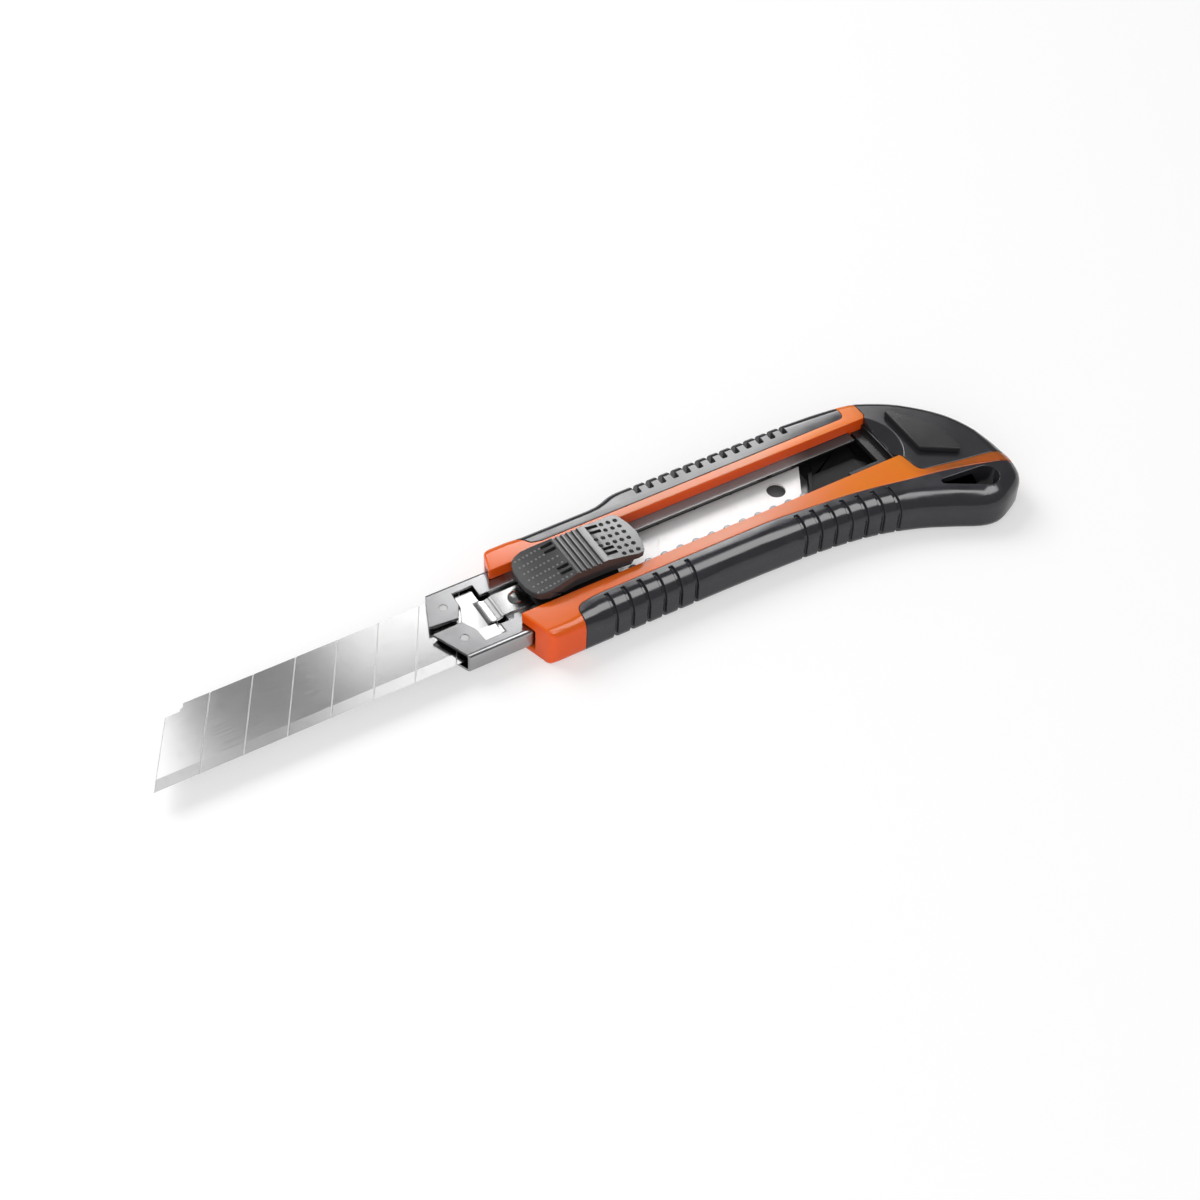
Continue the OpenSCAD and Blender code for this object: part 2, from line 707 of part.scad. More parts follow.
module magazine_spring() {
    mid_x = spare_x + spare_l / 2;
    reach = 14;
    rise = spring_room - leaf_t - 0.04;
    bow = [for (i = [-6 : 6]) [mid_x + reach * i / 6, inner_floor + 0.02 + rise * cos(15 * i)]];
    color("#9a9ca0") along_y(-leaf_half, leaf_half)
        polygon(concat(bow, [for (i = [12 : -1 : 0]) bow[i] + [0, leaf_t]]));
}

// Plastic stop behind the spare blade, with a rib set at the blade's own angle
stop_gap = 2.2;
rib_t = 1.2;
stop_end = channel_end - seat_gap;
stop_z = spare_z + 0.1;

module spare_stop() {
    first = spare_end + stop_gap;
    color("#45454a") union() {
        slab([[first, -half_blade], [first + rib_t, -half_blade],
              [first + rib_t + (half_blade + 2.8) * lean, 2.8], [first + (half_blade + 2.8) * lean, 2.8]],
             inner_floor, spare_z + blade_t);
        slab([[first + rib_t, -half_blade], [stop_end, -half_blade], [stop_end, -0.5],
              [stop_end - 2, 2], [first + rib_t + (half_blade + 2) * lean, 2]],
             inner_floor, stop_z);
        slab([[first + rib_t + 9 * lean, 0], [stop_end, 0], [stop_end, half_blade],
              [first + rib_t + 18 * lean, half_blade]], inner_floor, inner_floor + 0.4);
    }
}

// ---------- slider ----------

plate_x = base_x + 1.9;            // front end of the base
base_end = plate_x + base_l;
base_half = slot_half - 0.4;
base_z = channel_top + run_gap - 0.1;
base_t = 1.55;
base_top = base_z + base_t;
stem_half = 3.2;
stem_near = 2.4;                   // the stem is cut back here for the click spring
holder_top = lip_under - run_gap;
holder_half = 7.8;
holder_x = base_x - 4.5;
holder_end = channel_end - slider_travel - 0.4;
strip_t = 0.55;
strip_half = 3.1;
strap_z = lip_under;               // the strap runs level with the lips
head_z = holder_top - strip_t;     // the T-shaped head runs below them
strip_end = base_x + 2.2;
carrier_rivet_x = base_x - 0.4;

// Steel plate that grips the blade's tang below the lips
module blade_holder() {
    color("#7c7f85") difference() {
        union() {
            block([holder_x, -holder_half, blade_top], [holder_end, holder_half, holder_top]);
            block([holder_x, -strip_half, holder_top], [strip_end, strip_half, strap_z]);
            translate([stud_x, hole_side, blade_z + 0.05])
                cylinder(r = tang_hole_r - pin_gap, h = blade_t, $fn = smooth);
        }
        translate([carrier_rivet_x, 0, blade_top - over])
            cylinder(r = 0.9 + pin_gap, h = 4, $fn = smooth);
    }
}

// Spring-steel strip with a T-shaped head that steadies the blade at the nose
module carrier_strip() {
    ramp_x = tee_x + 2.9;
    ramp_end = ramp_x + 4.2;
    rise = strap_z - head_z;
    // [run, share of the rise] along the joggle between the head and the strap
    joggle = [[0, 0], [0.8, 0.5], [1.3, 0.55], [1.9, 0.3], [2.7, 0.35], [3.5, 0.65], [4.2, 1]];
    under = [for (j = joggle) [ramp_x + j[0], head_z + j[1] * rise]];
    tip = tee_x - 1.5;
    arm = tee_half - 0.5;
    color("whitesmoke") difference() {
        union() {
            slab([[tip, -0.3], [tee_x + 0.2, -3.8], [tee_x + 0.4, -arm], [tee_end - 0.5, -arm],
                  [tee_end - 0.5, -strip_half - 0.5], [ramp_x, -strip_half - 0.5],
                  [ramp_x, strip_half + 0.5], [tee_end - 0.5, strip_half + 0.5],
                  [tee_end - 0.5, arm], [tee_x + 0.4, arm], [tee_x + 0.2, 3.8], [tip, 0.3]],
                 head_z, head_z + strip_t);
            along_y(-strip_half, strip_half)
                polygon(concat([[ramp_x - 0.5, head_z]], under,
                    [[strip_end, strap_z], [strip_end, strap_z + strip_t]],
                    [for (i = [len(under) - 1 : -1 : 0]) under[i] + [0, strip_t]],
                    [[ramp_x - 0.5, head_z + strip_t]]));
        }
        translate([carrier_rivet_x, 0, head_z - over])
            cylinder(r = 0.9 + pin_gap, h = 4, $fn = smooth);
    }
}

module carrier_rivet() {
    color("gainsboro") translate([carrier_rivet_x, 0, strap_z + strip_t])
        dome_rivet(1.9, 0.9, 0.9, strap_z + strip_t - blade_top);
}

button_x = front_x + 2.95;         // front end of the button
button_l = 29.05;
button_end = button_x + button_l;
button_top = body_h + button_rise;
mid_x0 = button_x + 10.9;          // ribbed middle of the button
mid_x1 = button_x + 18.75;
post_x = [mid_x0 - 2.6, mid_x1 + 1.6];
boss_top = base_top + 1.4;
boss_half = 4;
skirt_z = base_top + press_travel + 0.3;
click_x = tooth_x + 2.5 * tooth_pitch;
click_z = lip_under + 0.05;
click_h = sheet_t - 0.1;
tab_l = 2.2;                       // tab of the click spring that shows beside the button
tab_y = 5.95;
wing_root = slot_end - slider_travel - 0.5;
wing_under = body_h + press_travel + 0.3;

// Plastic base that runs in the thumb slot
module slider_base() {
    recess = 3;
    color("#26262a") difference() {
        union() {
            translate([0, 0, base_z]) linear_extrude(base_t)
                round_rect([plate_x, -base_half], [base_end, base_half], 1.5);
            block([mid_x0 - 3.9, -boss_half, base_top - over], [mid_x1 + 3.1, boss_half, boss_top]);
            // stem through the gap between the lips
            block([strip_end, -stem_near, holder_top], [holder_end, stem_half, base_z + 0.5]);
            block([holder_end - 2.5, -stem_half, holder_top], [holder_end, stem_half, base_z + 0.5]);
        }
        translate([carrier_rivet_x, 0, base_z - over])
            cylinder(r = recess, h = base_t + 2 * over, $fn = smooth);
        for (x = post_x)
            translate([x, 0, base_z + 0.35])
                cylinder(r = post_r + pin_gap, h = 6, $fn = smooth);
        // pocket of the click spring
        block([click_x - 0.6, -near_lip + 0.15, holder_top - over],
              [click_x + 0.6, -stem_half - 0.75, base_top + 0.05]);
        block([click_x - tab_l, -tab_y - 0.15, base_top - 0.45],
              [click_x + 0.6, -stem_half - 0.75, base_top + 0.05]);
    }
}

// Leaf beside the stem whose nose drops between two teeth
module click_spring() {
    y0 = -stem_half;
    tip = -near_lip + 0.35;
    back = -stem_half - 0.95;
    color("silver") union() {
        slab([[strip_end + 0.2, y0 + 0.35], [holder_end - 2.6, y0 + 0.35],
              [holder_end - 2.6, y0], [click_x + 1.1, y0], [click_x + 0.4, tip],
              [click_x - 0.4, tip], [click_x - 1.1, y0], [strip_end + 0.2, y0]],
             click_z, click_z + click_h);
        block([click_x - 0.4, tip, click_z], [click_x + 0.4, back, base_top]);
        block([click_x - tab_l + 0.15, -tab_y, base_top - 0.3],
              [click_x + 0.4, back, base_top + 0.1]);
    }
}

// Heights of the button's top along X
crown = [
    [button_x, button_top - 1.9], [button_x + 3.3, button_top - 1.3], [mid_x0 - 1.3, button_top - 0.25],
    [mid_x0, button_top], [mid_x1, button_top], [mid_x1 + 1.6, button_top - 0.3],
    [button_end - 4, button_top - 0.95], [button_end, button_top - 1.4]];

// Bow-tie outline of the button with rounded ends
module button_plan(shrink) {
    e = button_end_half - shrink;
    m = button_mid_half - shrink;
    x0 = button_x + shrink;
    x1 = button_end - shrink;
    side = [[x0, 0], [x0 + 0.2, e - 3.9], [x0 + 0.7, e - 2.2], [x0 + 1.4, e - 1.1], [x0 + 2.4, e - 0.4],
            [x0 + 3.9, e], [x0 + 6.8, e - 0.2], [mid_x0, m], [mid_x1, m], [x1 - 6.4, e - 0.5],
            [x1 - 3.2, e - 0.1], [x1 - 2, e - 0.3], [x1 - 1.3, e - 1], [x1 - 0.5, e - 3.4], [x1, 0]];
    last = len(side) - 1;
    polygon(concat(side, [for (i = [last - 1 : -1 : 1]) [side[i][0], -side[i][1]]]));
}

module slider_button() {
    rib_pitch = (mid_x1 - mid_x0 - 2.7) / (button_rib_n - 1);
    ceiling = button_top - 1.6;
    front_under = button_top - 3.2;
    color("#303034") difference() {
        union() {
            intersection() {
                along_y(-button_end_half - over, button_end_half + over)
                    polygon(concat(crown, [[button_end, wing_under], [wing_root, wing_under],
                                           [wing_root - 0.6, skirt_z], [mid_x0 - 4.6, skirt_z],
                                           [button_x, front_under]]));
                translate([0, 0, skirt_z - over]) linear_extrude(10) button_plan(0);
            }
        }
        // hollow below the ribbed middle, over the boss of the base
        block([mid_x0 - 4.4, -boss_half - 0.4, skirt_z - over],
              [mid_x1 + 3.6, boss_half + 0.4, boss_top + press_travel + 0.3]);
        block([mid_x0 - 0.9, -boss_half - 0.4, skirt_z - over], [mid_x1, boss_half + 0.4, ceiling]);
        // grooves between the ribs
        for (k = [0 : button_rib_n - 1])
            translate([mid_x0 + 1 + k * rib_pitch, 0, button_top]) rotate([90, 0, 0])
                cylinder(r = 0.4, h = 2 * button_end_half + 2, center = true, $fn = 24);
        // pairs of slots beside the middle
        for (x = [mid_x0 - 2.8, mid_x1 + 0.5])
            for (y = [-4.35, -2.8, 2.6, 4.2])
                block([x, y, button_top - 1.3], [x + 2.7, y + 0.85, button_top + over]);
    }
    color("#303034") for (x = post_x)
        translate([x, 0, base_z + 0.35 + press_travel + 0.15])
            cylinder(r = post_r, h = button_top - 1.2 - base_z - 1.3, $fn = smooth);
}

// Bowed leaf that lifts the button
module button_spring() {
    mid = (mid_x0 - 0.9 + mid_x1) / 2;
    reach = 3.4;
    rise = button_top - 1.6 - boss_top - 0.3;
    bow = [for (i = [-6 : 6]) [mid + reach * i / 6, boss_top + 0.02 + rise * cos(15 * i)]];
    color("#9a9ca0") along_y(-2.2, 2.2)
        polygon(concat(bow, [for (i = [12 : -1 : 0]) bow[i] + [0, 0.25]]));
}

housing();
near_grip();
far_grip();
tail_cover();
tail_pad();
rear_insert();
blade_channel();
guide_plate_near();
guide_plate_far();
nose_rivets();
magazine_spring();
spare_blade();
spare_stop();
blade();
blade_holder();
carrier_strip();
carrier_rivet();
slider_base();
click_spring();
button_spring();
slider_button();
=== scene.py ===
"""Looks of the snap-off utility knife: its finishes, its fine surface detail and its studio."""

from __future__ import annotations

import json
import logging
import math
from dataclasses import dataclass
from enum import Enum
from typing import Any, Callable, Iterable, Sequence

import bmesh
import bpy
from mathutils import Matrix, Vector
from mathutils.bvhtree import BVHTree

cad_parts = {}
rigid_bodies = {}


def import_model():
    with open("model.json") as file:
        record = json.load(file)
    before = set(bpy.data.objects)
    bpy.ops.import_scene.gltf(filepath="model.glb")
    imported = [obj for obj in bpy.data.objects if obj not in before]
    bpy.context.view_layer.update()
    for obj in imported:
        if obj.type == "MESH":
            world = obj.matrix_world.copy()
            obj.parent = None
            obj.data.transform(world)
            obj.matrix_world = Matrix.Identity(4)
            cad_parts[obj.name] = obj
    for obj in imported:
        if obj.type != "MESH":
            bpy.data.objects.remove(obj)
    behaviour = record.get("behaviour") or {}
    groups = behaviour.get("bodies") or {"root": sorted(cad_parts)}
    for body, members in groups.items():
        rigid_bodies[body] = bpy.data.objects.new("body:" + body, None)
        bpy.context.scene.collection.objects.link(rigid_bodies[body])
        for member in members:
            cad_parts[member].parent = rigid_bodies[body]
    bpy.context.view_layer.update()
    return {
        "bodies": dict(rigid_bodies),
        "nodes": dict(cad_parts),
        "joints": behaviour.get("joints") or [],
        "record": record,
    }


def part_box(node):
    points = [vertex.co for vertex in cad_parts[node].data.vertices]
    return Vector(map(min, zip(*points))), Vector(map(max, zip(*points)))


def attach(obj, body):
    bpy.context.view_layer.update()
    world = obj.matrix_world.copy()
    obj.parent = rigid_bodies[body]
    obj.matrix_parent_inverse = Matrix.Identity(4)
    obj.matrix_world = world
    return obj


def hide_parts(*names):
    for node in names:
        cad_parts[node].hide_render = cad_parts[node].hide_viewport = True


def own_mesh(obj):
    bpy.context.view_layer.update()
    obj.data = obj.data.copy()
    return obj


log = logging.getLogger("utility_knife")

MM = 0.001
PER_METRE = 1000.0
FAR_MM = 500.0  # past the end of every piece

Value = Any  # a number, a colour or a wire
Colour = tuple[float, float, float, float]
Range = tuple[float, float]
Point = tuple[float, float, float]
UP = Vector((0, 0, 1))


class Body(Enum):
    """Rigid bodies of the knife that pieces ride on."""

    HANDLE = "handle"
    CARRIER = "carrier"
    BUTTON = "button"


class Slot(Enum):
    """Material slots of the record, which each piece is listed with."""

    SHELL = "orange_shell"
    GRIP = "black_grip"
    BLACK = "black_plastic"
    GREY = "grey_plastic"
    ZINC = "zinc_steel"
    DULL = "dull_steel"
    SPRING = "spring_steel"
    BLADE = "blade_steel"


class Shape(Enum):
    """Small shapes that are set many times on a surface."""

    DOME = "dome"
    RIM = "rim"
    WELL = "well"


def tinted(colour: Sequence[float], factor: float) -> Colour:
    """Scales a colour's brightness and makes it opaque."""
    return (colour[0] * factor, colour[1] * factor, colour[2] * factor, 1.0)


def grey(level: float) -> Colour:
    """Gives a grey."""
    return (level, level, level, 1.0)


# ---------------------------------------------------------------- node maths


class Wire:
    """A node's output that Python's operators work on."""

    def __init__(self, nodes: Nodes, socket: bpy.types.NodeSocket) -> None:
        """Wraps an output of a tree."""
        self.nodes = nodes
        self.socket = socket

    def _math(self, operation: str, *values: Value) -> Wire:
        """Adds one Math node over the values."""
        return self.nodes.add("ShaderNodeMath", dict(enumerate(values)), operation=operation)

    def __add__(self, other: Value) -> Wire:
        """Adds a number or a wire."""
        return self._math("ADD", self, other)

    __radd__ = __add__

    def __sub__(self, other: Value) -> Wire:
        """Takes a number or a wire away."""
        return self._math("SUBTRACT", self, other)

    def __rsub__(self, other: Value) -> Wire:
        """Takes this wire away from a number."""
        return self._math("SUBTRACT", other, self)

    def __mul__(self, other: Value) -> Wire:
        """Multiplies with a number or a wire."""
        return self._math("MULTIPLY", self, other)

    __rmul__ = __mul__

    def __truediv__(self, other: Value) -> Wire:
        """Divides by a number or a wire."""
        return self._math("DIVIDE", self, other)

    def __rtruediv__(self, other: Value) -> Wire:
        """Divides a number by this wire."""
        return self._math("DIVIDE", other, self)

    def __neg__(self) -> Wire:
        """Changes the sign."""
        return self * -1.0

    def __lt__(self, other: Value) -> Wire:
        """Is 1 where this wire is the smaller, and 0 elsewhere."""
        return self._math("LESS_THAN", self, other)

    def fract(self) -> Wire:
        """Keeps the part after the decimal point."""
        return self._math("FRACT", self)

    def largest(self, other: Value) -> Wire:
        """Takes the larger of two."""
        return self._math("MAXIMUM", self, other)

    def sway(self, reach: float) -> Wire:
        """Turns noise around 0.5 into noise around 0 with a reach."""
        return (self - 0.5) * reach

    def ramp(self, low: float, high: float, out_low: float = 0.0, out_high: float = 1.0) -> Wire:
        """Maps a range smoothly onto another and holds its ends.

        Args:
            low: Input that gives out_low.
            high: Input that gives out_high.
            out_low: Output at and before low.
            out_high: Output at and after high.

        Returns:
            The mapped wire.
        """
        values = {"From Min": low, "From Max": high, "To Min": out_low, "To Max": out_high}
        return self.nodes.add(
            "ShaderNodeMapRange", {"Value": self, **values}, interpolation_type="SMOOTHSTEP"
        )

    def window(self, low: float, high: float, fade: float) -> Wire:
        """Is 1 between two values and fades out past them.

        Args:
            low: Where it starts being full.
            high: Where it stops being full.
            fade: How far past either end it reaches 0.

        Returns:
            The mask.
        """
        return self.ramp(low - fade, low) * self.ramp(high, high + fade, 1.0, 0.0)


class Nodes:
    """A node tree that is filled in Python."""

    def __init__(self, tree: bpy.types.NodeTree) -> None:
        """Takes a tree and empties it."""
        self.tree = tree
        self.tree.nodes.clear()

    def node(
        self, kind: str, values: dict[Value, Value] | None = None, **settings: Value
    ) -> bpy.types.Node:
        """Makes one node.

        Args:
            kind: Blender's name of the node's type.
            values: Numbers, colours or wires by input name or number.
            **settings: Properties of the node, set before its inputs.

        Returns:
            The node.
        """
        node = self.tree.nodes.new(kind)
        for key, value in settings.items():
            setattr(node, key, value)
        for key, value in (values or {}).items():
            self.plug(value, node.inputs[key])
        return node

    def add(
        self,
        kind: str,
        values: dict[Value, Value] | None = None,
        out: Value = 0,
        **settings: Value,
    ) -> Wire:
        """Makes one node and gives the wire of the output with a name or number."""
        return Wire(self, self.node(kind, values, **settings).outputs[out])

    def plug(self, value: Value, socket: bpy.types.NodeSocket) -> None:
        """Links a wire to a socket, or sets the socket's own value."""
        if isinstance(value, Wire):
            self.tree.links.new(value.socket, socket)
        else:
            socket.default_value = value

    def split(self, vector: Wire) -> tuple[Wire, Wire, Wire]:
        """Gives a vector's three parts."""
        node = self.node("ShaderNodeSeparateXYZ", {0: vector})
        return tuple(Wire(self, node.outputs[i]) for i in range(3))


@dataclass(frozen=True)
class Noise:
    """A noise pattern.

    Attributes:
        scale: Bumps to the metre.
        detail: How many finer layers it has.
        stretch: Scale along each axis, for patterns that run one way.
    """

    scale: float
    detail: float
    stretch: Point = (1.0, 1.0, 1.0)


class Shader(Nodes):
    """One material and the nodes in it."""

    NOISE_ROUGHNESS = 0.55
    CELL_SPREAD = 0.9

    def __init__(self, name: str, kind: str = "ShaderNodeBsdfPrincipled") -> None:
        """Starts a material.

        Args:
            name: Name of the material.
            kind: Blender's name of the shader that it ends in.
        """
        self.material = bpy.data.materials.new(name)
        self.material.use_nodes = True
        super().__init__(self.material.node_tree)
        self.surface = self.node(kind)
        self.node("ShaderNodeOutputMaterial", {"Surface": Wire(self, self.surface.outputs[0])})

    def set(self, **values: Value) -> None:
        """Sets the shader's sockets, with _ for a space in a name."""
        for name, value in values.items():
            self.plug(value, self.surface.inputs[name.replace("_", " ")])

    def place(self) -> Wire:
        """Gives the point on the piece in its own frame."""
        return self.add("ShaderNodeTexCoord", out="Object")

    def axes(self) -> tuple[Wire, Wire, Wire]:
        """Gives the point's three coordinates in millimetres."""
        x, y, z = self.split(self.place())
        return x * PER_METRE, y * PER_METRE, z * PER_METRE

    def upward(self) -> Wire:
        """Gives how much a face looks up, from -1 to 1."""
        return self.split(self.add("ShaderNodeTexCoord", out="Normal"))[2]

    def noise(self, pattern: Noise) -> Wire:
        """Gives a noise pattern's level, around 0.5."""
        at = self.add("ShaderNodeMapping", {"Vector": self.place(), "Scale": pattern.stretch})
        values = {"Vector": at, "Scale": pattern.scale, "Detail": pattern.detail}
        return self.add(
            "ShaderNodeTexNoise", {**values, "Roughness": self.NOISE_ROUGHNESS}, out="Fac"
        )

    def cells(self, size_mm: float) -> Wire:
        """Gives the distance to the middle of rounded cells of a size."""
        values = {"Scale": PER_METRE / size_mm, "Randomness": self.CELL_SPREAD}
        return self.add("ShaderNodeTexVoronoi", {"Vector": self.place(), **values}, out="Distance")

    def blend(self, share: Value, first: Value, second: Value) -> Wire:
        """Mixes two colours.

        Args:
            share: How much of the second colour shows.
            first: Colour at 0.
            second: Colour at 1.

        Returns:
            The mixed colour.
        """
        return self.add(
            "ShaderNodeMix", {"Factor": share, 6: first, 7: second}, out=2, data_type="RGBA"
        )

    def bump(self, height: Wire, depth_mm: float) -> Wire:
        """Turns a height into a normal.

        Args:
            height: Height from 0 to 1.
            depth_mm: Height in millimetres that 1 stands for.

        Returns:
            The normal.
        """
        return self.add(
            "ShaderNodeBump",
            {"Height": height, "Strength": 1.0, "Distance": depth_mm * MM},
            out="Normal",
        )


# ---------------------------------------------------------------- finishes


MATERIALS: dict[str, bpy.types.Material] = {}


@dataclass(frozen=True)
class Finish:
    """A look that pieces share."""

    name: str

    def build(self) -> bpy.types.Material:
        """Builds the material."""
        raise NotImplementedError

    def material(self) -> bpy.types.Material:
        """Gives the material, and builds it the first time."""
        if self.name not in MATERIALS:
            MATERIALS[self.name] = self.build()
        return MATERIALS[self.name]


@dataclass(frozen=True)
class ShellPlastic(Finish):
    """Glossy moulded shell with faint clouding and scuffs, and with painted light and shade on its
    top and sides.

    Attributes:
        side: Colour of the faces that don't look up: painted shade, redder than the painted light
            on the top.
        painted_front_top: Colour of the top at the front end, painted light.
        top: Colour of the top behind front_x_mm, painted light but darker than at the front.
        painted_rear_top: Colour of the top behind rear_x_mm, painted light and yellower.
        painted_tail_top: Colour of the top behind tail_x_mm, painted dark as shade.
    """

    side: Colour
    painted_front_top: Colour
    top: Colour
    painted_rear_top: Colour
    painted_tail_top: Colour
    front_x_mm: Range = (-32.0, -14.0)
    rear_x_mm: Range = (8.0, 34.0)
    tail_x_mm: Range = (44.0, 52.0)
    gloss: float = 0.13
    specular: float = 0.32
    grain_depth_mm: float = 0.0012

    CLOUDS = Noise(80.0, 4.0)
    GRAIN = Noise(2500.0, 2.0)
    SCUFFS = Noise(1500.0, 3.0, (0.08, 1.0, 1.0))
    LOOKS_UP = (0.3, 0.9)
    CLOUDED = (0.38, 0.7)
    SCUFFED = (0.62, 0.8)
    CLOUDING = 0.25
    FADED = 1.08
    CLOUD_ROUGHNESS = 0.08
    SCUFF_ROUGHNESS = 0.06

    def build(self) -> bpy.types.Material:
        """Builds the material."""
        shader = Shader(self.name)
        cloud, scuffs = shader.noise(self.CLOUDS), shader.noise(self.SCUFFS)
        along, _, _ = shader.axes()
        # Painted light and shade: the top's colour changes along X, faces that look up take it,
        # and the sides keep the redder side colour.
        top: Value = self.painted_front_top
        for reach_mm, colour in (
            (self.front_x_mm, self.top),
            (self.rear_x_mm, self.painted_rear_top),
            (self.tail_x_mm, self.painted_tail_top),
        ):
            top = shader.blend(along.ramp(*reach_mm), top, colour)
        painted_light = shader.blend(shader.upward().ramp(*self.LOOKS_UP), self.side, top)
        clouded = cloud.ramp(*self.CLOUDED) * self.CLOUDING
        rubbed = scuffs.ramp(*self.SCUFFED) * self.SCUFF_ROUGHNESS
        shader.set(
            Base_Color=shader.blend(clouded, painted_light, tinted(self.side, self.FADED)),
            Roughness=cloud.sway(self.CLOUD_ROUGHNESS) + rubbed + self.gloss,
            Normal=shader.bump(shader.noise(self.GRAIN), self.grain_depth_mm),
            Specular_IOR_Level=self.specular,
        )
        return shader.material


@dataclass(frozen=True)
class MouldedPlastic(Finish):
    """Hard black or grey plastic with a fine mould texture and faint clouding."""

    colour: Colour
    gloss: float
    grain_mm: float = 0.4
    grain_depth_mm: float = 0.0025
    clouding: float = 0.08
    specular: float = 0.5

    CLOUDS = Noise(110.0, 4.0)
    FLOW = Noise(500.0, 3.0, (0.12, 1.0, 1.0))
    GRAIN_DETAIL = 2.0
    CLOUDED = (0.35, 0.65)
    CLOUD_ROUGHNESS = 0.1
    FLOW_ROUGHNESS = 0.06

    def build(self) -> bpy.types.Material:
        """Builds the material."""
        shader = Shader(self.name)
        cloud, flow = shader.noise(self.CLOUDS), shader.noise(self.FLOW)
        grain = shader.noise(Noise(PER_METRE / self.grain_mm, self.GRAIN_DETAIL))
        uneven = cloud.sway(self.CLOUD_ROUGHNESS) + flow.sway(self.FLOW_ROUGHNESS)
        shader.set(
            Base_Color=shader.blend(
                cloud.ramp(*self.CLOUDED),
                tinted(self.colour, 1 - self.clouding),
                tinted(self.colour, 1 + self.clouding),
            ),
            Roughness=uneven + self.gloss,
            Normal=shader.bump(grain, self.grain_depth_mm),
            Specular_IOR_Level=self.specular,
        )
        return shader.material


@dataclass(frozen=True)
class SoftGrip(Finish):
    """Soft elastomer with a leathery grain, scuffs and a little dust."""

    colour: Colour
    gloss: float = 0.13
    grain_mm: float = 0.32
    grain_depth_mm: float = 0.0015

    WEAR = Noise(140.0, 5.0)
    DUSTY = (0.4, 0.75)
    DUST = 1.3
    WORN = (0.3, 0.7)
    WEAR_ROUGHNESS = (-0.03, 0.05)

    def build(self) -> bpy.types.Material:
        """Builds the material."""
        shader = Shader(self.name)
        wear = shader.noise(self.WEAR)
        rough = (self.gloss + change for change in self.WEAR_ROUGHNESS)
        shader.set(
            Base_Color=shader.blend(
                wear.ramp(*self.DUSTY), self.colour, tinted(self.colour, self.DUST)
            ),
            Roughness=wear.ramp(*self.WORN, *rough),
            Normal=shader.bump(shader.cells(self.grain_mm), self.grain_depth_mm),
        )
        return shader.material


@dataclass(frozen=True)
class SheetSteel(Finish):
    """Sheet, strip or wire steel with rolling lines along X, a clouded surface and, where set,
    painted light and shade on its side faces and in the rear cavity.

    Attributes:
        painted_side: Colour of the faces that don't look up, if not the same: painted lighter as a
            highlight, or darker as shade.
        dull_and_shaded_x_mm: Where the steel loses its shine and its cut edges are painted dark as
            shade.
        shade_x_mm: Where painted shade darkens the surface towards the rear.
        shade_z_mm: Height below which that painted shade is black.
    """

    colour: Colour
    gloss: float
    clouding: float = 0.06
    tarnish: float = 0.15
    painted_side: Colour | None = None
    dull_and_shaded_x_mm: Range = (FAR_MM, FAR_MM + 1)
    shade_x_mm: float = FAR_MM
    shade_z_mm: float = 3.6

    LINES = Noise(6000.0, 2.0, (0.05, 1.0, 1.0))
    CLOUDS = Noise(170.0, 5.0)
    SPOTS = Noise(700.0, 4.0)
    LINE_DEPTH_MM = 0.0012
    LOOKS_UP = (0.35, 0.75)
    CLOUDED = (0.3, 0.7)
    SPOTTED = (0.6, 0.78)
    STAIN = 0.6
    DULL_METAL = 0.15
    SHADED_CUT = grey(0.015)
    SHADOW_BLACK = grey(0.02)
    SHADOW_FADE_MM = 0.2
    REAR_SHADE = grey(0.03)
    REAR_FROM_MM, REAR_TO_MM, REAR_SHARE = -5.0, 3.0, 0.85
    LINE_ROUGHNESS = 0.1
    CLOUD_ROUGHNESS = 0.06
    STAIN_ROUGHNESS = 0.4

    def build(self) -> bpy.types.Material:
        """Builds the material."""
        shader = Shader(self.name)
        lines, cloud = shader.noise(self.LINES), shader.noise(self.CLOUDS)
        along, _, above = shader.axes()
        plain = shader.blend(
            cloud.ramp(*self.CLOUDED),
            tinted(self.colour, 1 - self.clouding),
            tinted(self.colour, 1 + self.clouding),
        )
        # Painted shade: the surface darkens towards the rear cavity.
        rear = along.ramp(self.shade_x_mm + self.REAR_FROM_MM, self.shade_x_mm + self.REAR_TO_MM)
        plain = shader.blend(rear * self.REAR_SHARE, plain, self.REAR_SHADE)
        stained = shader.noise(self.SPOTS).ramp(*self.SPOTTED) * self.tarnish
        upper = shader.blend(stained, plain, tinted(self.colour, self.STAIN))
        # Side faces take the painted side colour, a painted highlight or painted shade, and are
        # painted dark as shade behind the nose.
        painted_side = shader.blend(along.ramp(*self.dull_and_shaded_x_mm), self.painted_side or self.colour, self.SHADED_CUT)
        shown = shader.blend(shader.upward().ramp(*self.LOOKS_UP), painted_side, upper)
        # Painted shadow: black below a set height at the rear.
        painted_shadow = along.ramp(self.shade_x_mm, self.shade_x_mm + self.SHADOW_FADE_MM) * (above < self.shade_z_mm)
        uneven = lines.sway(self.LINE_ROUGHNESS) + cloud.sway(self.CLOUD_ROUGHNESS)
        shader.set(
            Base_Color=shader.blend(painted_shadow, shown, self.SHADOW_BLACK),
            Metallic=along.ramp(*self.dull_and_shaded_x_mm, 1.0, self.DULL_METAL),
            Roughness=uneven + stained * self.STAIN_ROUGHNESS + self.gloss,
            Normal=shader.bump(lines, self.LINE_DEPTH_MM),
        )
        return shader.material


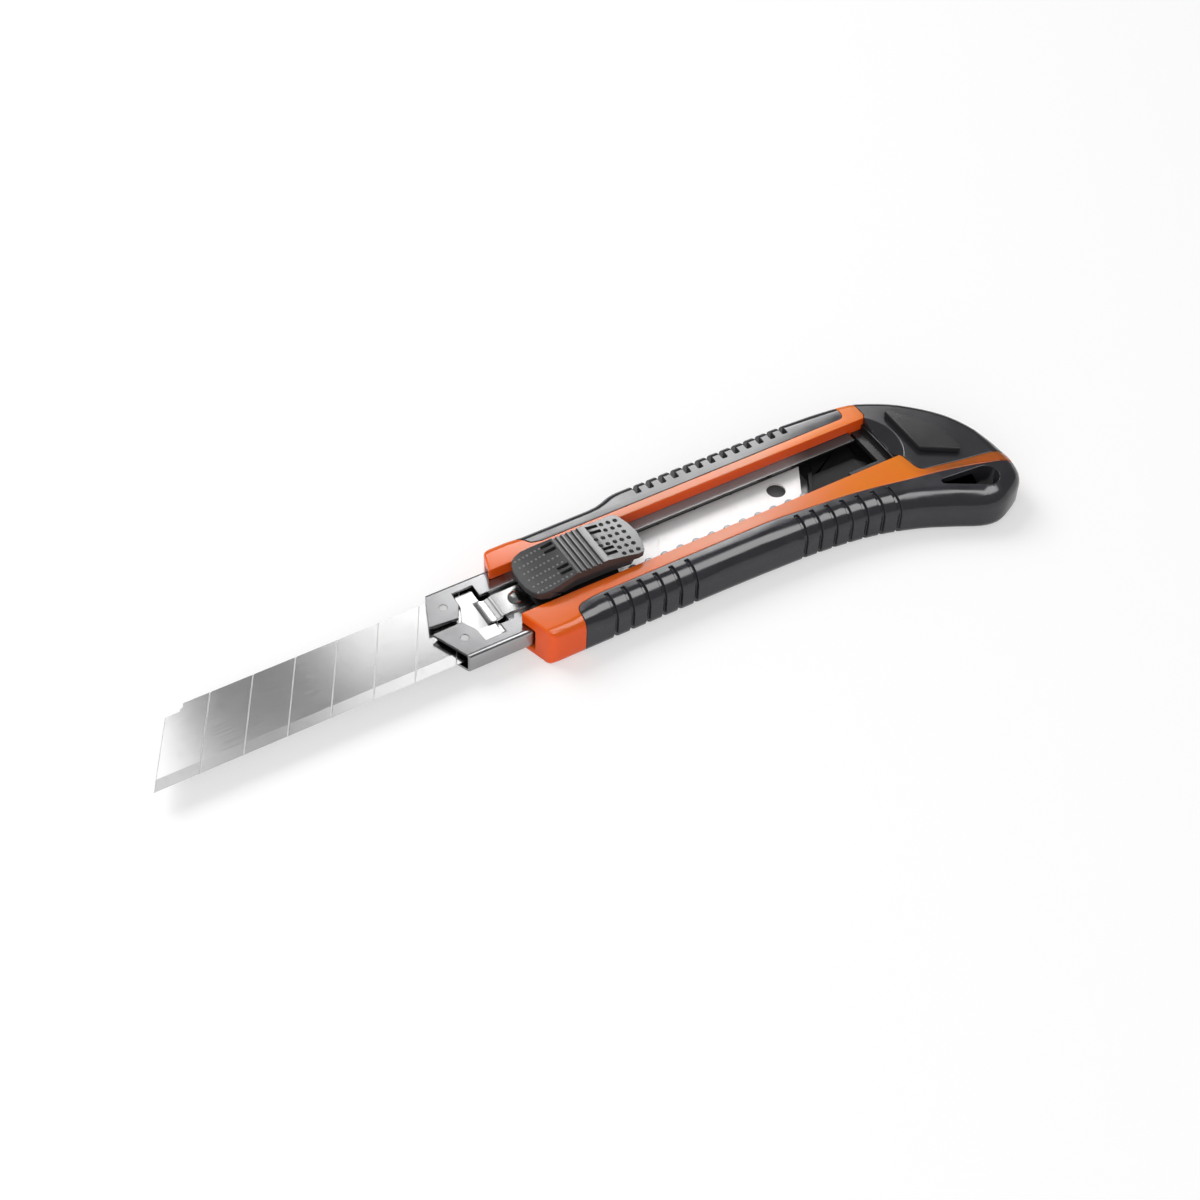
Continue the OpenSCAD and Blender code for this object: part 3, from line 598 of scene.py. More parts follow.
@dataclass(frozen=True)
class BladeSteel(Finish):
    """Rolled blade steel: lines across the ground bevel, matt score lines, light stains, and where
    set a painted shadow along its back.

    Attributes:
        tip_x_mm: Front end of the cutting edge.
        lip_shadow_y_mm: Where the painted shadow of the channel's lip darkens the blade towards
            its back.
    """

    colour: Colour
    tip_x_mm: float
    gloss: float = 0.13
    metal: float = 1.0
    lip_shadow_y_mm: float = FAR_MM

    ROLLED = Noise(5000.0, 3.0, (0.03, 1.0, 1.0))
    GROUND = Noise(7000.0, 2.0, (1.0, 0.05, 0.05))
    STAINS = Noise(260.0, 6.0)
    LINE_DEPTH_MM = 0.001
    PITCH_MM = 9.6
    SCORE_MM = 0.3
    SCORE_DEG = 60.0
    EDGE_Y_MM = -9.0
    BEVEL_Y_MM = -6.4
    STAINED = (0.45, 0.75)
    STAINING = 0.5
    STAIN = 0.9
    LIP_SHADOW = grey(0.03)
    LIP_SHADOW_FADE_MM = 0.4
    LINE_ROUGHNESS = 0.08
    STAIN_ROUGHNESS = 0.04
    SCORE_ROUGHNESS = 0.4

    def build(self) -> bpy.types.Material:
        """Builds the material."""
        shader = Shader(self.name)
        x, y, _ = shader.axes()
        rolled, ground = shader.noise(self.ROLLED), shader.noise(self.GROUND)
        stain = shader.noise(self.STAINS)
        bevel = y < self.BEVEL_Y_MM
        lean = 1 / math.tan(math.radians(self.SCORE_DEG))
        along = (x - self.tip_x_mm - (y - self.EDGE_Y_MM) * lean) / self.PITCH_MM
        width = self.SCORE_MM / self.PITCH_MM
        score = (along + width / 2).fract() < width
        lines = rolled * (1 - bevel) + ground * bevel
        stained = stain.ramp(*self.STAINED) * self.STAINING
        plain = shader.blend(stained, self.colour, tinted(self.colour, self.STAIN))
        # Painted shadow: the blade goes dark towards its back, under the channel's lip.
        back = y.ramp(self.lip_shadow_y_mm, self.lip_shadow_y_mm + self.LIP_SHADOW_FADE_MM)
        uneven = lines.sway(self.LINE_ROUGHNESS) + stain.sway(self.STAIN_ROUGHNESS)
        shader.set(
            Base_Color=shader.blend(back, plain, self.LIP_SHADOW),
            Metallic=self.metal,
            Roughness=uneven + score * self.SCORE_ROUGHNESS + self.gloss,
            Normal=shader.bump(lines, self.LINE_DEPTH_MM),
        )
        return shader.material


# Painted light and shade: the top is painted yellower than the redder sides, darker over the
# middle, yellowest behind it and dark at the tail.
ORANGE = ShellPlastic(
    "shell_plastic",
    side=(0.82, 0.093, 0.008, 1.0),
    painted_front_top=(0.7, 0.122, 0.011, 1.0),
    top=(0.56, 0.122, 0.013, 1.0),
    painted_rear_top=(0.72, 0.185, 0.009, 1.0),
    painted_tail_top=(0.26, 0.082, 0.012, 1.0),
)
GRIP = SoftGrip("grip_rubber", (0.022, 0.0215, 0.026, 1.0))
COVER = MouldedPlastic("cover_plastic", (0.021, 0.021, 0.0245, 1.0), 0.15)
PAD = MouldedPlastic(
    "pad_plastic", (0.02, 0.02, 0.022, 1.0), 0.17, grain_mm=0.3, grain_depth_mm=0.004
)
BUTTON = MouldedPlastic("button_plastic", (0.042, 0.042, 0.0435, 1.0), 0.15, grain_depth_mm=0.0012)
# Studs painted light, a painted highlight on the black plastic.
STUD_HIGHLIGHT = MouldedPlastic("stud_painted_highlight", (0.17, 0.17, 0.172, 1.0), 0.25, grain_depth_mm=0.001)
# Dark discs of painted shade in the hollows of the rims.
WELL_SHADE = MouldedPlastic("button_well_shade", grey(0.006), 0.7)
INSERT = MouldedPlastic("insert_plastic", (0.012, 0.0118, 0.012, 1.0), 0.25, specular=0.3)
# Painted near black, as the painted shade of the rear cavity.
SHADED_STOP = MouldedPlastic("stop_plastic", (0.01, 0.01, 0.0105, 1.0), 0.4, specular=0.15)
# Painted light and shade: side faces painted light as a highlight, cut edges painted dark as shade
# behind the nose.
PLATED = SheetSteel(
    "plated_steel",
    (0.21, 0.21, 0.214, 1.0),
    0.2,
    painted_side=(0.42, 0.42, 0.425, 1.0),
    dull_and_shaded_x_mm=(-50.0, -42.0),
    # Painted shade in the rear cavity from here.
    shade_x_mm=28.0,
)
# Side faces painted dark as shade, to outline the plates.
PLATES = SheetSteel("plate_steel", (0.19, 0.19, 0.194, 1.0), 0.2, painted_side=grey(0.04))
DARK_STEEL = SheetSteel("inner_steel", (0.3, 0.3, 0.31, 1.0), 0.4)
# Side faces of the heads painted dark as shade.
RIVET = SheetSteel("rivet_steel", grey(0.26), 0.3, painted_side=grey(0.07))
STRIP = SheetSteel("strip_steel", grey(0.4), 0.24, clouding=0.03, tarnish=0.03)


# ---------------------------------------------------------------- meshes


FRAME: dict[str, Any] = {}


def settle(obj: bpy.types.Object) -> bpy.types.Object:
    """Applies an object's modifiers and leaves it with the plain mesh.

    Args:
        obj: The object, changed in place.

    Returns:
        The same object.
    """
    graph = bpy.context.evaluated_depsgraph_get()
    graph.update()
    mesh = bpy.data.meshes.new_from_object(
        obj.evaluated_get(graph), preserve_all_data_layers=True, depsgraph=graph
    )
    obj.modifiers.clear()
    obj.data = mesh
    return obj


def new_piece(name: str, data: bpy.types.ID) -> bpy.types.Object:
    """Puts something in the scene as an object at the origin.

    Args:
        name: Name of the object.
        data: Its mesh, lamp or camera.

    Returns:
        The object.
    """
    obj = bpy.data.objects.new(name, data)
    bpy.context.scene.collection.objects.link(obj)
    return obj


def report(obj: bpy.types.Object) -> None:
    """Logs how many faces a piece has."""
    log.info("%s has %d faces", obj.name, len(obj.data.polygons))


@dataclass
class EdgeRounding:
    """Rounds the edges of a merged copy of a carried-over solid.

    Attributes:
        width_mm: Rounding of every edge.
        bold_mm: Rounding of the convex edges that lie wholly in bold_x_mm.
        bold_x_mm: Where the bold rounding holds.
        cap_z_mm: Height that the copy is cut down to.
        segments: Faces across a rounding.
        sharp_deg: Angle over which an edge stays crisp.
        crease_deg: Angle over which an edge between two broad faces stays crisp too.
    """

    width_mm: float = 0.15
    bold_mm: float = 0.0
    bold_x_mm: Range = (0.0, 0.0)
    cap_z_mm: float = FAR_MM
    segments: int = 2
    sharp_deg: float = 50.0
    crease_deg: float = 180.0

    FINE = 3  # segments of a broad rounding
    MERGE_MM = 0.001  # points closer than this become one
    FLAT_DEG = 0.6  # faces closer than this become one
    ROUNDED_DEG = 35.0  # edges over this are rounded
    BROAD_MM2 = 4.0

    def _weigh(self, bm: bmesh.types.BMesh) -> float:
        """Gives each edge its share of the widest rounding.

        Args:
            bm: The merged solid.

        Returns:
            The widest rounding in millimetres.
        """
        widest = max(self.width_mm, self.bold_mm)
        low, high = (x * MM for x in self.bold_x_mm)
        least = math.radians(self.ROUNDED_DEG)
        layer = bm.edges.layers.float.new("bevel_weight_edge")
        for edge in bm.edges:
            if len(edge.link_faces) != 2 or edge.calc_face_angle(0.0) < least:
                continue
            bold = self.bold_mm > 0 and all(low < v.co.x < high for v in edge.verts)
            convex = edge.calc_face_angle_signed(0.0) > 0
            edge[layer] = (self.bold_mm if bold and convex else self.width_mm) / widest
        return widest

    def _round(self, obj: bpy.types.Object, widest_mm: float) -> None:
        """Adds the rounding, by the edges' weights.

        Args:
            obj: The merged copy.
            widest_mm: The widest rounding.
        """
        bevel = obj.modifiers.new("rounding", "BEVEL")
        bevel.width = widest_mm * MM
        bevel.segments = self.segments
        bevel.limit_method = "WEIGHT"
        bevel.use_clamp_overlap = False
        bevel.miter_outer = "MITER_ARC"

    def _crease(self, mesh: bpy.types.Mesh) -> None:
        """Keeps the shallow creases between broad faces crisp.

        Args:
            mesh: The rounded mesh, changed in place.
        """
        bm = bmesh.new()
        bm.from_mesh(mesh)
        broad = self.BROAD_MM2 * MM * MM
        for edge in bm.edges:
            faces = edge.link_faces
            if len(faces) == 2 and edge.calc_face_angle(0.0) > math.radians(self.crease_deg):
                edge.smooth = edge.smooth and min(face.calc_area() for face in faces) < broad
        bm.to_mesh(mesh)
        bm.free()

    def copy_of(self, node: str, name: str) -> bpy.types.Object:
        """Makes a merged copy of a node with rounded edges, kept inside the node's box.

        Args:
            node: Name of the carried-over solid.
            name: Name of the new piece.

        Returns:
            The new object, with a plain mesh and no material.
        """
        bm = bmesh.new()
        bm.from_mesh(FRAME["nodes"][node].data)
        for vertex in bm.verts:
            vertex.co.z = min(vertex.co.z, self.cap_z_mm * MM)
        bmesh.ops.remove_doubles(bm, verts=bm.verts, dist=self.MERGE_MM * MM)
        bmesh.ops.dissolve_limit(
            bm, angle_limit=math.radians(self.FLAT_DEG), verts=bm.verts, edges=bm.edges
        )
        widest = self._weigh(bm) if self.width_mm > 0 else 0.0
        mesh = bpy.data.meshes.new(name)
        bm.to_mesh(mesh)
        bm.free()
        mesh.shade_smooth()
        obj = new_piece(name, mesh)
        if widest > 0:
            self._round(obj, widest)
        settle(obj)
        low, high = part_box(node)
        for vertex in obj.data.vertices:
            vertex.co = [min(max(c, a), b) for c, a, b in zip(vertex.co, low, high)]
        obj.data.set_sharp_from_angle(angle=math.radians(self.sharp_deg))
        self._crease(obj.data)
        obj.modifiers.new("shading", "WEIGHTED_NORMAL").keep_sharp = True
        return settle(obj)


NO_ROUNDING = EdgeRounding(0.0)
BLADE_EDGES = EdgeRounding(0.0, sharp_deg=8)


@dataclass
class Dressing:
    """A carried-over solid, what it is finished with and where it rides."""

    node: str
    finish: Finish
    body: Body
    slot: Slot
    rounding: EdgeRounding

    def build(self) -> bpy.types.Object:
        """Shows the solid as a finished copy with rounded edges.

        Returns:
            The object that is shown.
        """
        obj = self.rounding.copy_of(self.node, self.node + "_dressed")
        obj.data.materials.append(self.finish.material())
        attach(obj, self.body.value)
        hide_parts(self.node)
        report(obj)
        return obj


def dress(body: Body, rows: Iterable[tuple[str, Finish, Slot, EdgeRounding]]) -> None:
    """Dresses the solids that ride on one body.

    Args:
        body: The body.
        rows: Node, finish, slot and rounding of each solid.
    """
    for node, finish, slot, rounding in rows:
        Dressing(node, finish, body, slot, rounding).build()


class Pattern(Nodes):
    """A Geometry Nodes tree that sets one small shape on every point of a host."""

    SEED = 7
    DOME = {"Segments": 10, "Rings": 6}
    SIDES = 14
    WALL_SIDES = 5

    def __init__(self, name: str, shape: Shape) -> None:
        """Builds the tree.

        Args:
            name: Name of the tree.
            shape: Shape to repeat.
        """
        super().__init__(bpy.data.node_groups.new(name, "GeometryNodeTree"))
        self.keys: dict[str, str] = {}
        for label, kind in (
            ("Points", "NodeSocketGeometry"),
            ("Radius", "NodeSocketFloat"),
            ("Height", "NodeSocketFloat"),
            ("Tilt", "NodeSocketFloat"),
            ("Variation", "NodeSocketFloat"),
            ("Finish", "NodeSocketMaterial"),
        ):
            socket = self.tree.interface.new_socket(label, in_out="INPUT", socket_type=kind)
            self.keys[label] = socket.identifier
        self.tree.interface.new_socket("Mesh", in_out="OUTPUT", socket_type="NodeSocketGeometry")
        inputs = self.node("NodeGroupInput")
        self.given = {label: Wire(self, inputs.outputs[label]) for label in self.keys}
        self._spread(getattr(self, "_" + shape.value)())

    def _dome(self) -> Wire:
        """Gives a low dome."""
        radius, height = self.given["Radius"], self.given["Height"]
        ball = self.add("GeometryNodeMeshUVSphere", {**self.DOME, "Radius": radius})
        low = self.add("ShaderNodeCombineXYZ", {0: 1.0, 1: 1.0, 2: height / radius})
        return self.add("GeometryNodeTransform", {"Geometry": ball, "Scale": low})

    def _rim(self) -> Wire:
        """Gives a raised ring."""
        kind = "GeometryNodeCurvePrimitiveCircle"
        path = self.add(kind, {"Resolution": self.SIDES, "Radius": self.given["Radius"]})
        wall = self.add(kind, {"Resolution": self.WALL_SIDES, "Radius": self.given["Height"]})
        return self.add("GeometryNodeCurveToMesh", {"Curve": path, "Profile Curve": wall})

    def _well(self) -> Wire:
        """Gives a flat disc."""
        sizes = {"Radius": self.given["Radius"], "Depth": self.given["Height"]}
        return self.add("GeometryNodeMeshCylinder", {"Vertices": self.SIDES, **sizes})

    def _spread(self, shape: Wire) -> None:
        """Sets the shape on the points and ends the tree.

        Args:
            shape: The shape's mesh.
        """
        variation = self.given["Variation"]
        size = self.add(
            "FunctionNodeRandomValue",
            {2: 1 - variation, 3: 1 + variation, "Seed": self.SEED},
            out=1,
            data_type="FLOAT",
        )
        spread = self.add(
            "GeometryNodeInstanceOnPoints",
            {
                "Points": self.given["Points"],
                "Instance": self.add("GeometryNodeSetShadeSmooth", {"Geometry": shape}),
                "Rotation": self.add("ShaderNodeCombineXYZ", {1: self.given["Tilt"]}),
                "Scale": size,
            },
        )
        real = self.add("GeometryNodeRealizeInstances", {"Geometry": spread})
        done = self.add(
            "GeometryNodeSetMaterial", {"Geometry": real, "Material": self.given["Finish"]}
        )
        self.node("NodeGroupOutput", {"Mesh": done})


@dataclass
class Repeated:
    """One small shape set at many places on a solid's top."""

    name: str
    shape: Shape
    finish: Finish
    body: Body
    slot: Slot
    radius_mm: float
    height_mm: float
    tilt_deg: float
    variation: float

    def build(self, places: Iterable[Vector]) -> bpy.types.Object:
        """Makes the piece.

        Args:
            places: Points in metres.

        Returns:
            The finished piece, as one plain mesh.
        """
        host = bpy.data.meshes.new(self.name)
        host.from_pydata(list(places), [], [])
        obj = new_piece(self.name, host)
        pattern = Pattern(self.name, self.shape)
        modifier = obj.modifiers.new("pattern", "NODES")
        modifier.node_group = pattern.tree
        for label, value in (
            ("Radius", self.radius_mm * MM),
            ("Height", self.height_mm * MM),
            ("Tilt", math.radians(self.tilt_deg)),
            ("Variation", self.variation),
            ("Finish", self.finish.material()),
        ):
            modifier[pattern.keys[label]] = value
        settle(obj)
        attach(obj, self.body.value)
        report(obj)
        return obj


# ---------------------------------------------------------------- sub-assemblies


@dataclass
class Handle:
    """Hard shell, soft grips and tail of the knife."""

    shell_round_mm: float = 0.22
    block_round_mm: float = 0.45
    block_x_mm: Range = (-90.0, -41.0)
    grip_round_mm: float = 0.18
    cover_round_mm: float = 0.2
    pad_round_mm: float = 0.35
    inner_round_mm: float = 0.1

    def build(self) -> None:
        """Dresses the handle's solids."""
        shell = EdgeRounding(
            self.shell_round_mm, self.block_round_mm, self.block_x_mm, segments=EdgeRounding.FINE
        )
        grip = EdgeRounding(self.grip_round_mm)
        cover = EdgeRounding(self.cover_round_mm)
        pad = EdgeRounding(self.pad_round_mm, segments=EdgeRounding.FINE)
        inner = EdgeRounding(self.inner_round_mm)
        dress(
            Body.HANDLE,
            (
                ("housing", ORANGE, Slot.SHELL, shell),
                ("near_grip", GRIP, Slot.GRIP, grip),
                ("far_grip", GRIP, Slot.GRIP, grip),
                ("tail_cover", COVER, Slot.BLACK, cover),
                ("tail_pad", PAD, Slot.BLACK, pad),
                ("rear_insert", INSERT, Slot.GREY, inner),
                ("spare_stop", SHADED_STOP, Slot.GREY, inner),
            ),
        )


@dataclass
class Channel:
    """Steel channel with its guide plates, rivets and what lies in it."""

    sheet_round_mm: float = 0.1
    lip_round_mm: float = 0.27
    lip_x_mm: Range = (-28.0, 60.0)
    rivet_top_mm: float = 7.05

    def build(self) -> None:
        """Dresses the channel's solids."""
        sheet = EdgeRounding(self.sheet_round_mm)
        lips = EdgeRounding(self.sheet_round_mm, self.lip_round_mm, self.lip_x_mm)
        heads = EdgeRounding(self.sheet_round_mm, cap_z_mm=self.rivet_top_mm)
        # The spare blade is painted near white and barely metallic, a painted reflection of the
        # white studio, with a painted shadow along its back under the lip.
        spare = BladeSteel(
            "spare_blade_steel",
            grey(0.95),
            tip_x_mm=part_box("spare_blade")[0][0] / MM,
            gloss=0.4,
            metal=0.1,
            lip_shadow_y_mm=5.3,
        )
        dress(
            Body.HANDLE,
            (
                ("blade_channel", PLATED, Slot.ZINC, lips),
                ("guide_plate_near", PLATES, Slot.DULL, sheet),
                ("guide_plate_far", PLATES, Slot.DULL, sheet),
                ("nose_rivets", RIVET, Slot.SPRING, heads),
                ("magazine_spring", DARK_STEEL, Slot.DULL, NO_ROUNDING),
                ("spare_blade", spare, Slot.BLADE, BLADE_EDGES),
            ),
        )


@dataclass
class Slider:
    """Everything that slides with the blade."""

    strip_round_mm: float = 0.08
    rivet_round_mm: float = 0.12
    base_round_mm: float = 0.15
    press_mm: float = 0.8

    def build(self) -> None:
        """Dresses the slider's solids."""
        strip = EdgeRounding(self.strip_round_mm)
        blade = BladeSteel("long_blade_steel", grey(0.55), tip_x_mm=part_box("blade")[0][0] / MM)
        dress(
            Body.CARRIER,
            (
                ("blade", blade, Slot.BLADE, BLADE_EDGES),
                ("blade_holder", DARK_STEEL, Slot.DULL, strip),
                ("carrier_strip", STRIP, Slot.SPRING, strip),
                ("carrier_rivet", STRIP, Slot.SPRING, EdgeRounding(self.rivet_round_mm)),
                ("slider_base", INSERT, Slot.GREY, EdgeRounding(self.base_round_mm)),
                ("click_spring", STRIP, Slot.SPRING, NO_ROUNDING),
            ),
        )
        self._button_spring()

    def _button_spring(self) -> None:
        """Dresses the leaf under the button and gives it a mesh of its own."""
        spring = Dressing(
            "button_spring", DARK_STEEL, Body.CARRIER, Slot.DULL, NO_ROUNDING
        ).build()
        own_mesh(spring)


@dataclass
class ThumbButton:
    """Ribbed thumb button with studs painted light as a highlight on its front wing, and cups on
    its rear one with dark discs of painted shade.
    """

    edge_round_mm: float = 0.05
    front_round_mm: float = 0.25
    front_x_mm: Range = (-60.0, -43.5)
    crease_deg: float = 5.0
    stud_rows_mm: tuple[float, ...] = (4.7, 2.7, 0.7, -1.3, -3.4, -5.3)
    stud_columns_mm: tuple[float, ...] = (
        -46.2, -45.2, -44.23, -43.3, -42.25, -41.35, -40.32, -39.3, -38.2,
    )
    stud_radius_mm: float = 0.3
    stud_height_mm: float = 0.16
    stud_tilt_deg: float = -9.5
    stud_variation: float = 0.05
    slot_x_mm: Range = (-40.0, -37.2)
    slot_rows_mm: tuple[Range, ...] = ((-4.7, -2.4), (2.2, 4.9))
    cup_rows_mm: tuple[float, ...] = (4.6, 2.7, 0.8, -1.2, -3.1, -5.1)
    cup_columns_mm: tuple[float, ...] = (-21.6, -23.35, -25.1)
    inner_cup_rows_mm: tuple[float, ...] = (0.8, -1.2)
    inner_cup_columns_mm: tuple[float, ...] = (-26.85, -28.6)
    cup_radius_mm: float = 0.5
    cup_height_mm: float = 0.06
    cup_tilt_deg: float = 7.5
    cup_variation: float = 0.02

    OVERHEAD_MM = 50.0

    def _on_top(self, places: Iterable[tuple[float, float]]) -> list[Vector]:
        """Sets places seen from above on the button's top.

        Args:
            places: Pairs of x and y in millimetres.

        Returns:
            The points in metres.
        """
        solid = FRAME["nodes"]["slider_button"].data
        surface = BVHTree.FromPolygons(
            [v.co for v in solid.vertices], [tuple(p.vertices) for p in solid.polygons]
        )
        starts = (Vector((x * MM, y * MM, self.OVERHEAD_MM * MM)) for x, y in places)
        hits = (surface.ray_cast(start, -UP)[0] for start in starts)
        return [hit for hit in hits if hit is not None]

    def _stud_places(self) -> list[tuple[float, float]]:
        """Sets out the studs, with the two slots left free.

        Returns:
            Pairs of x and y in millimetres.
        """
        low, high = self.slot_x_mm
        return [
            (x, y)
            for x in self.stud_columns_mm
            for y in self.stud_rows_mm
            if not (low < x < high and any(a < y < b for a, b in self.slot_rows_mm))
        ]

    def _cup_places(self) -> list[tuple[float, float]]:
        """Gives the cups' places."""
        outer = [(x, y) for x in self.cup_columns_mm for y in self.cup_rows_mm]
        return outer + [(x, y) for x in self.inner_cup_columns_mm for y in self.inner_cup_rows_mm]

    def build(self) -> None:
        """Dresses the button and sets its studs and cups."""
        rounding = EdgeRounding(
            self.edge_round_mm,
            self.front_round_mm,
            self.front_x_mm,
            segments=EdgeRounding.FINE,
            crease_deg=self.crease_deg,
        )
        dress(Body.BUTTON, [("slider_button", BUTTON, Slot.BLACK, rounding)])
        studs, cups = self._on_top(self._stud_places()), self._on_top(self._cup_places())
        stud = (self.stud_radius_mm, self.stud_height_mm, self.stud_tilt_deg, self.stud_variation)
        cup = (self.cup_radius_mm, self.cup_height_mm, self.cup_tilt_deg, self.cup_variation)
        # The studs are painted light as a painted highlight; the wells are dark discs of painted
        # shade in the cups.
        for name, shape, finish, sizes, places in (
            ("front_wing_studs", Shape.DOME, STUD_HIGHLIGHT, stud, studs),
            ("rear_wing_rims", Shape.RIM, BUTTON, cup, cups),
            ("rear_wing_well_shade", Shape.WELL, WELL_SHADE, cup, cups),
        ):
            Repeated(name, shape, finish, Body.BUTTON, Slot.BLACK, *sizes).build(places)


# ---------------------------------------------------------------- studio


@dataclass(frozen=True)
class Patch:
    """A patch of light with soft ends on a card.

    Attributes:
        across: Where it is full along the card's first coordinate.
        along: Where it is full along the second.
        fade: How far past its ends it fades out, along each.
        level: Its brightness.
    """

    across: Range
    along: Range
    fade: Range
    level: float = 1.0

    def light(self, x: Wire, y: Wire) -> Wire:
        """Gives the patch's brightness at a place on the card."""
        across = x.window(*self.across, self.fade[0])
        return across * y.window(*self.along, self.fade[1]) * self.level


@dataclass(frozen=True)
class Lamp:
    """A square soft lamp that looks at the knife.

    Attributes:
        name: Its name.
        spot_m: Its place.
        side_m: Its side length.
        watts: Its power.
    """

    name: str
    spot_m: Point
    side_m: float
    watts: float

    AIM_M = Vector((-0.02, 0.0, 0.0))

    def build(self) -> None:
        """Hangs the lamp, which polished faces don't mirror."""
        data = bpy.data.lights.new(self.name, "AREA")
        data.shape = "SQUARE"
        data.size = self.side_m
        data.energy = self.watts
        obj = new_piece(self.name, data)
        obj.location = self.spot_m
        obj.rotation_mode = "QUATERNION"
        obj.rotation_quaternion = (self.AIM_M - Vector(self.spot_m)).to_track_quat("-Z", "Y")
        obj.visible_glossy = False


CardPoint = tuple[Vector, Vector, tuple[float, float]]


def steps(span: tuple[int, int], step: int) -> range:
    """Gives the values from one end of a span to the other."""
    return range(span[0], span[1] + 1, step)


@dataclass
class Studio:
    """Camera, floor, lamps and the cards that the knife mirrors.

    A place on a card is named by the point of the knife that mirrors it there, so the ranges
    below are the arguments of a wire's ramp or window in millimetres along x or y.

    Attributes:
        top_z_mm: Height of the plane that mirrors the large card.
        top_x_mm: Span of that plane along x.
        top_y_mm: Span of that plane along y.
        ridge_mm: Axis of the near grip's rounded edge, as its y and z.
        ridge_radius_mm: Radius of that edge.
        ridge_x_mm: Span of that edge along x.
        ridge_turn_deg: Span of that edge's turn from looking up.
        floor_grey: The floor's colour for the light that falls on it.
        floor_seen_grey: Its colour to the eye and to polished faces.
        floor_seen_glow: What it adds to that colour to the eye.
        floor_mirrored_glow: What it adds in polished and in clear faces.
        sky_light: The light that the sky throws.
        sky_mirrored: Its level in polished faces.
        sky_front: What its near side adds there.
    """

    lens_mm: float = 66.84
    sensor_mm: float = 36.0
    clip_m: Range = (0.01, 20.0)
    distance_mm: float = 475.02
    azimuth_deg: float = -32.668
    elevation_deg: float = 47.697
    roll_deg: float = 2.459
    target_mm: Point = (-32.346, -7.636, 4.7)
    card_away_mm: float = 700.0
    card_step_mm: int = 10
    top_z_mm: float = 10.0
    top_x_mm: tuple[int, int] = (-190, 110)
    top_y_mm: tuple[int, int] = (-100, 110)
    ridge_mm: Range = (-11.55, 6.0)
    ridge_radius_mm: float = 4.2
    ridge_x_mm: tuple[int, int] = (-70, 100)
    ridge_turn_deg: tuple[int, int] = (14, 40)
    ridge_step_deg: int = 2
    floor_half_m: float = 3.0
    floor_grey: float = 0.8
    floor_seen_grey: float = 0.55
    floor_seen_glow: float = 0.453
    floor_mirrored_glow: float = 0.35
    sky_light: float = 0.55
    sky_mirrored: float = 0.3
    sky_front: float = 0.1
    shaded_rail: Patch = Patch((-43, -25), (-34, -5), (3, 1.5))
    far_rail: Patch = Patch((-49, -18), (8, 40), (6, 3), 5.0)
    front_wing: Patch = Patch((-128, -108), (-34, -13), (5, 2), 0.7)
    rear_wing: Patch = Patch((40, 74), (22, 52), (10, 10), 6.5)
    ridge: Patch = Patch((-60, 90), (20, 34), (10, 6), 7.0)
    lamps: tuple[Lamp, ...] = (
        Lamp("key", (-0.35, 0.75, 0.9), 0.7, 9.0),
        Lamp("fill", (-0.75, -0.75, 0.6), 1.0, 6.0),
    )

    DIM = 0.27
    HANDLE_STEPS = (
        (-95, -80, 0.0, 1.6),
        (-72, -58, 0.0, 0.3),
        (-53, -46, 0.0, 3.9),
        (-40, 5, 0.0, 3.8),
    )
    NEAR_END = (-10, 6)
    NEAR_END_FRONT_SHIFT = (-86, -70, 4.0, 0.0)
    NEAR_END_REAR_SHIFT = (-49, -44, 0.0, 24.0)
    FAR_END = (70, 100, 1.0, 0.0)
    REAR_END = (10, 34, 1.0, 0.0)
    REAR_END_LEAN = 0.8
    TIP = (-133, -119, 1.4, 0.0)
    TIP_NEAR_SIDE = (-40, -20)
    TIP_FAR_SIDE = (-1, 7, 1.2, 2.4)
    BEVEL_FRONT = (-134, -120, 0.95, 0.3)
    BEVEL_REAR = (-114, -88, 0.0, 1.15)
    BEVEL_END = (-70, -55, 1.0, 0.0)
    BEVEL_SIDES = (-90, -34, 8)
    SKY_NEAR_SIDE = (0.0, 0.5)  # of a direction's share towards the near side
    CARD_SPAN = 1000.0
    CARD_MIDDLE = 0.5

    def _directions(self) -> tuple[Vector, Vector, Vector]:
        """Turns the camera's angles into directions.

        Returns:
            Its right, up and back directions.
        """
        a, e, r = (math.radians(v) for v in (self.azimuth_deg, self.elevation_deg, self.roll_deg))
        back = Vector((math.sin(a) * math.cos(e), -math.cos(a) * math.cos(e), math.sin(e)))
        right = Vector((math.cos(a), math.sin(a), 0.0))
        up = back.cross(right)
        turned_right = right * math.cos(r) + up * math.sin(r)
        return turned_right, back.cross(turned_right), back

    def _eye(self) -> Vector:
        """Gives the camera's place in metres."""
        return (Vector(self.target_mm) + self._directions()[2] * self.distance_mm) * MM

    def _camera(self) -> None:
        """Sets the camera."""
        data = bpy.data.cameras.new("camera")
        data.lens = self.lens_mm
        data.sensor_width = self.sensor_mm
        data.clip_start, data.clip_end = self.clip_m
        obj = new_piece("camera", data)
        turn = Matrix(self._directions()).transposed().to_4x4()
        obj.matrix_world = Matrix.Translation(self._eye()) @ turn
        bpy.context.scene.camera = obj

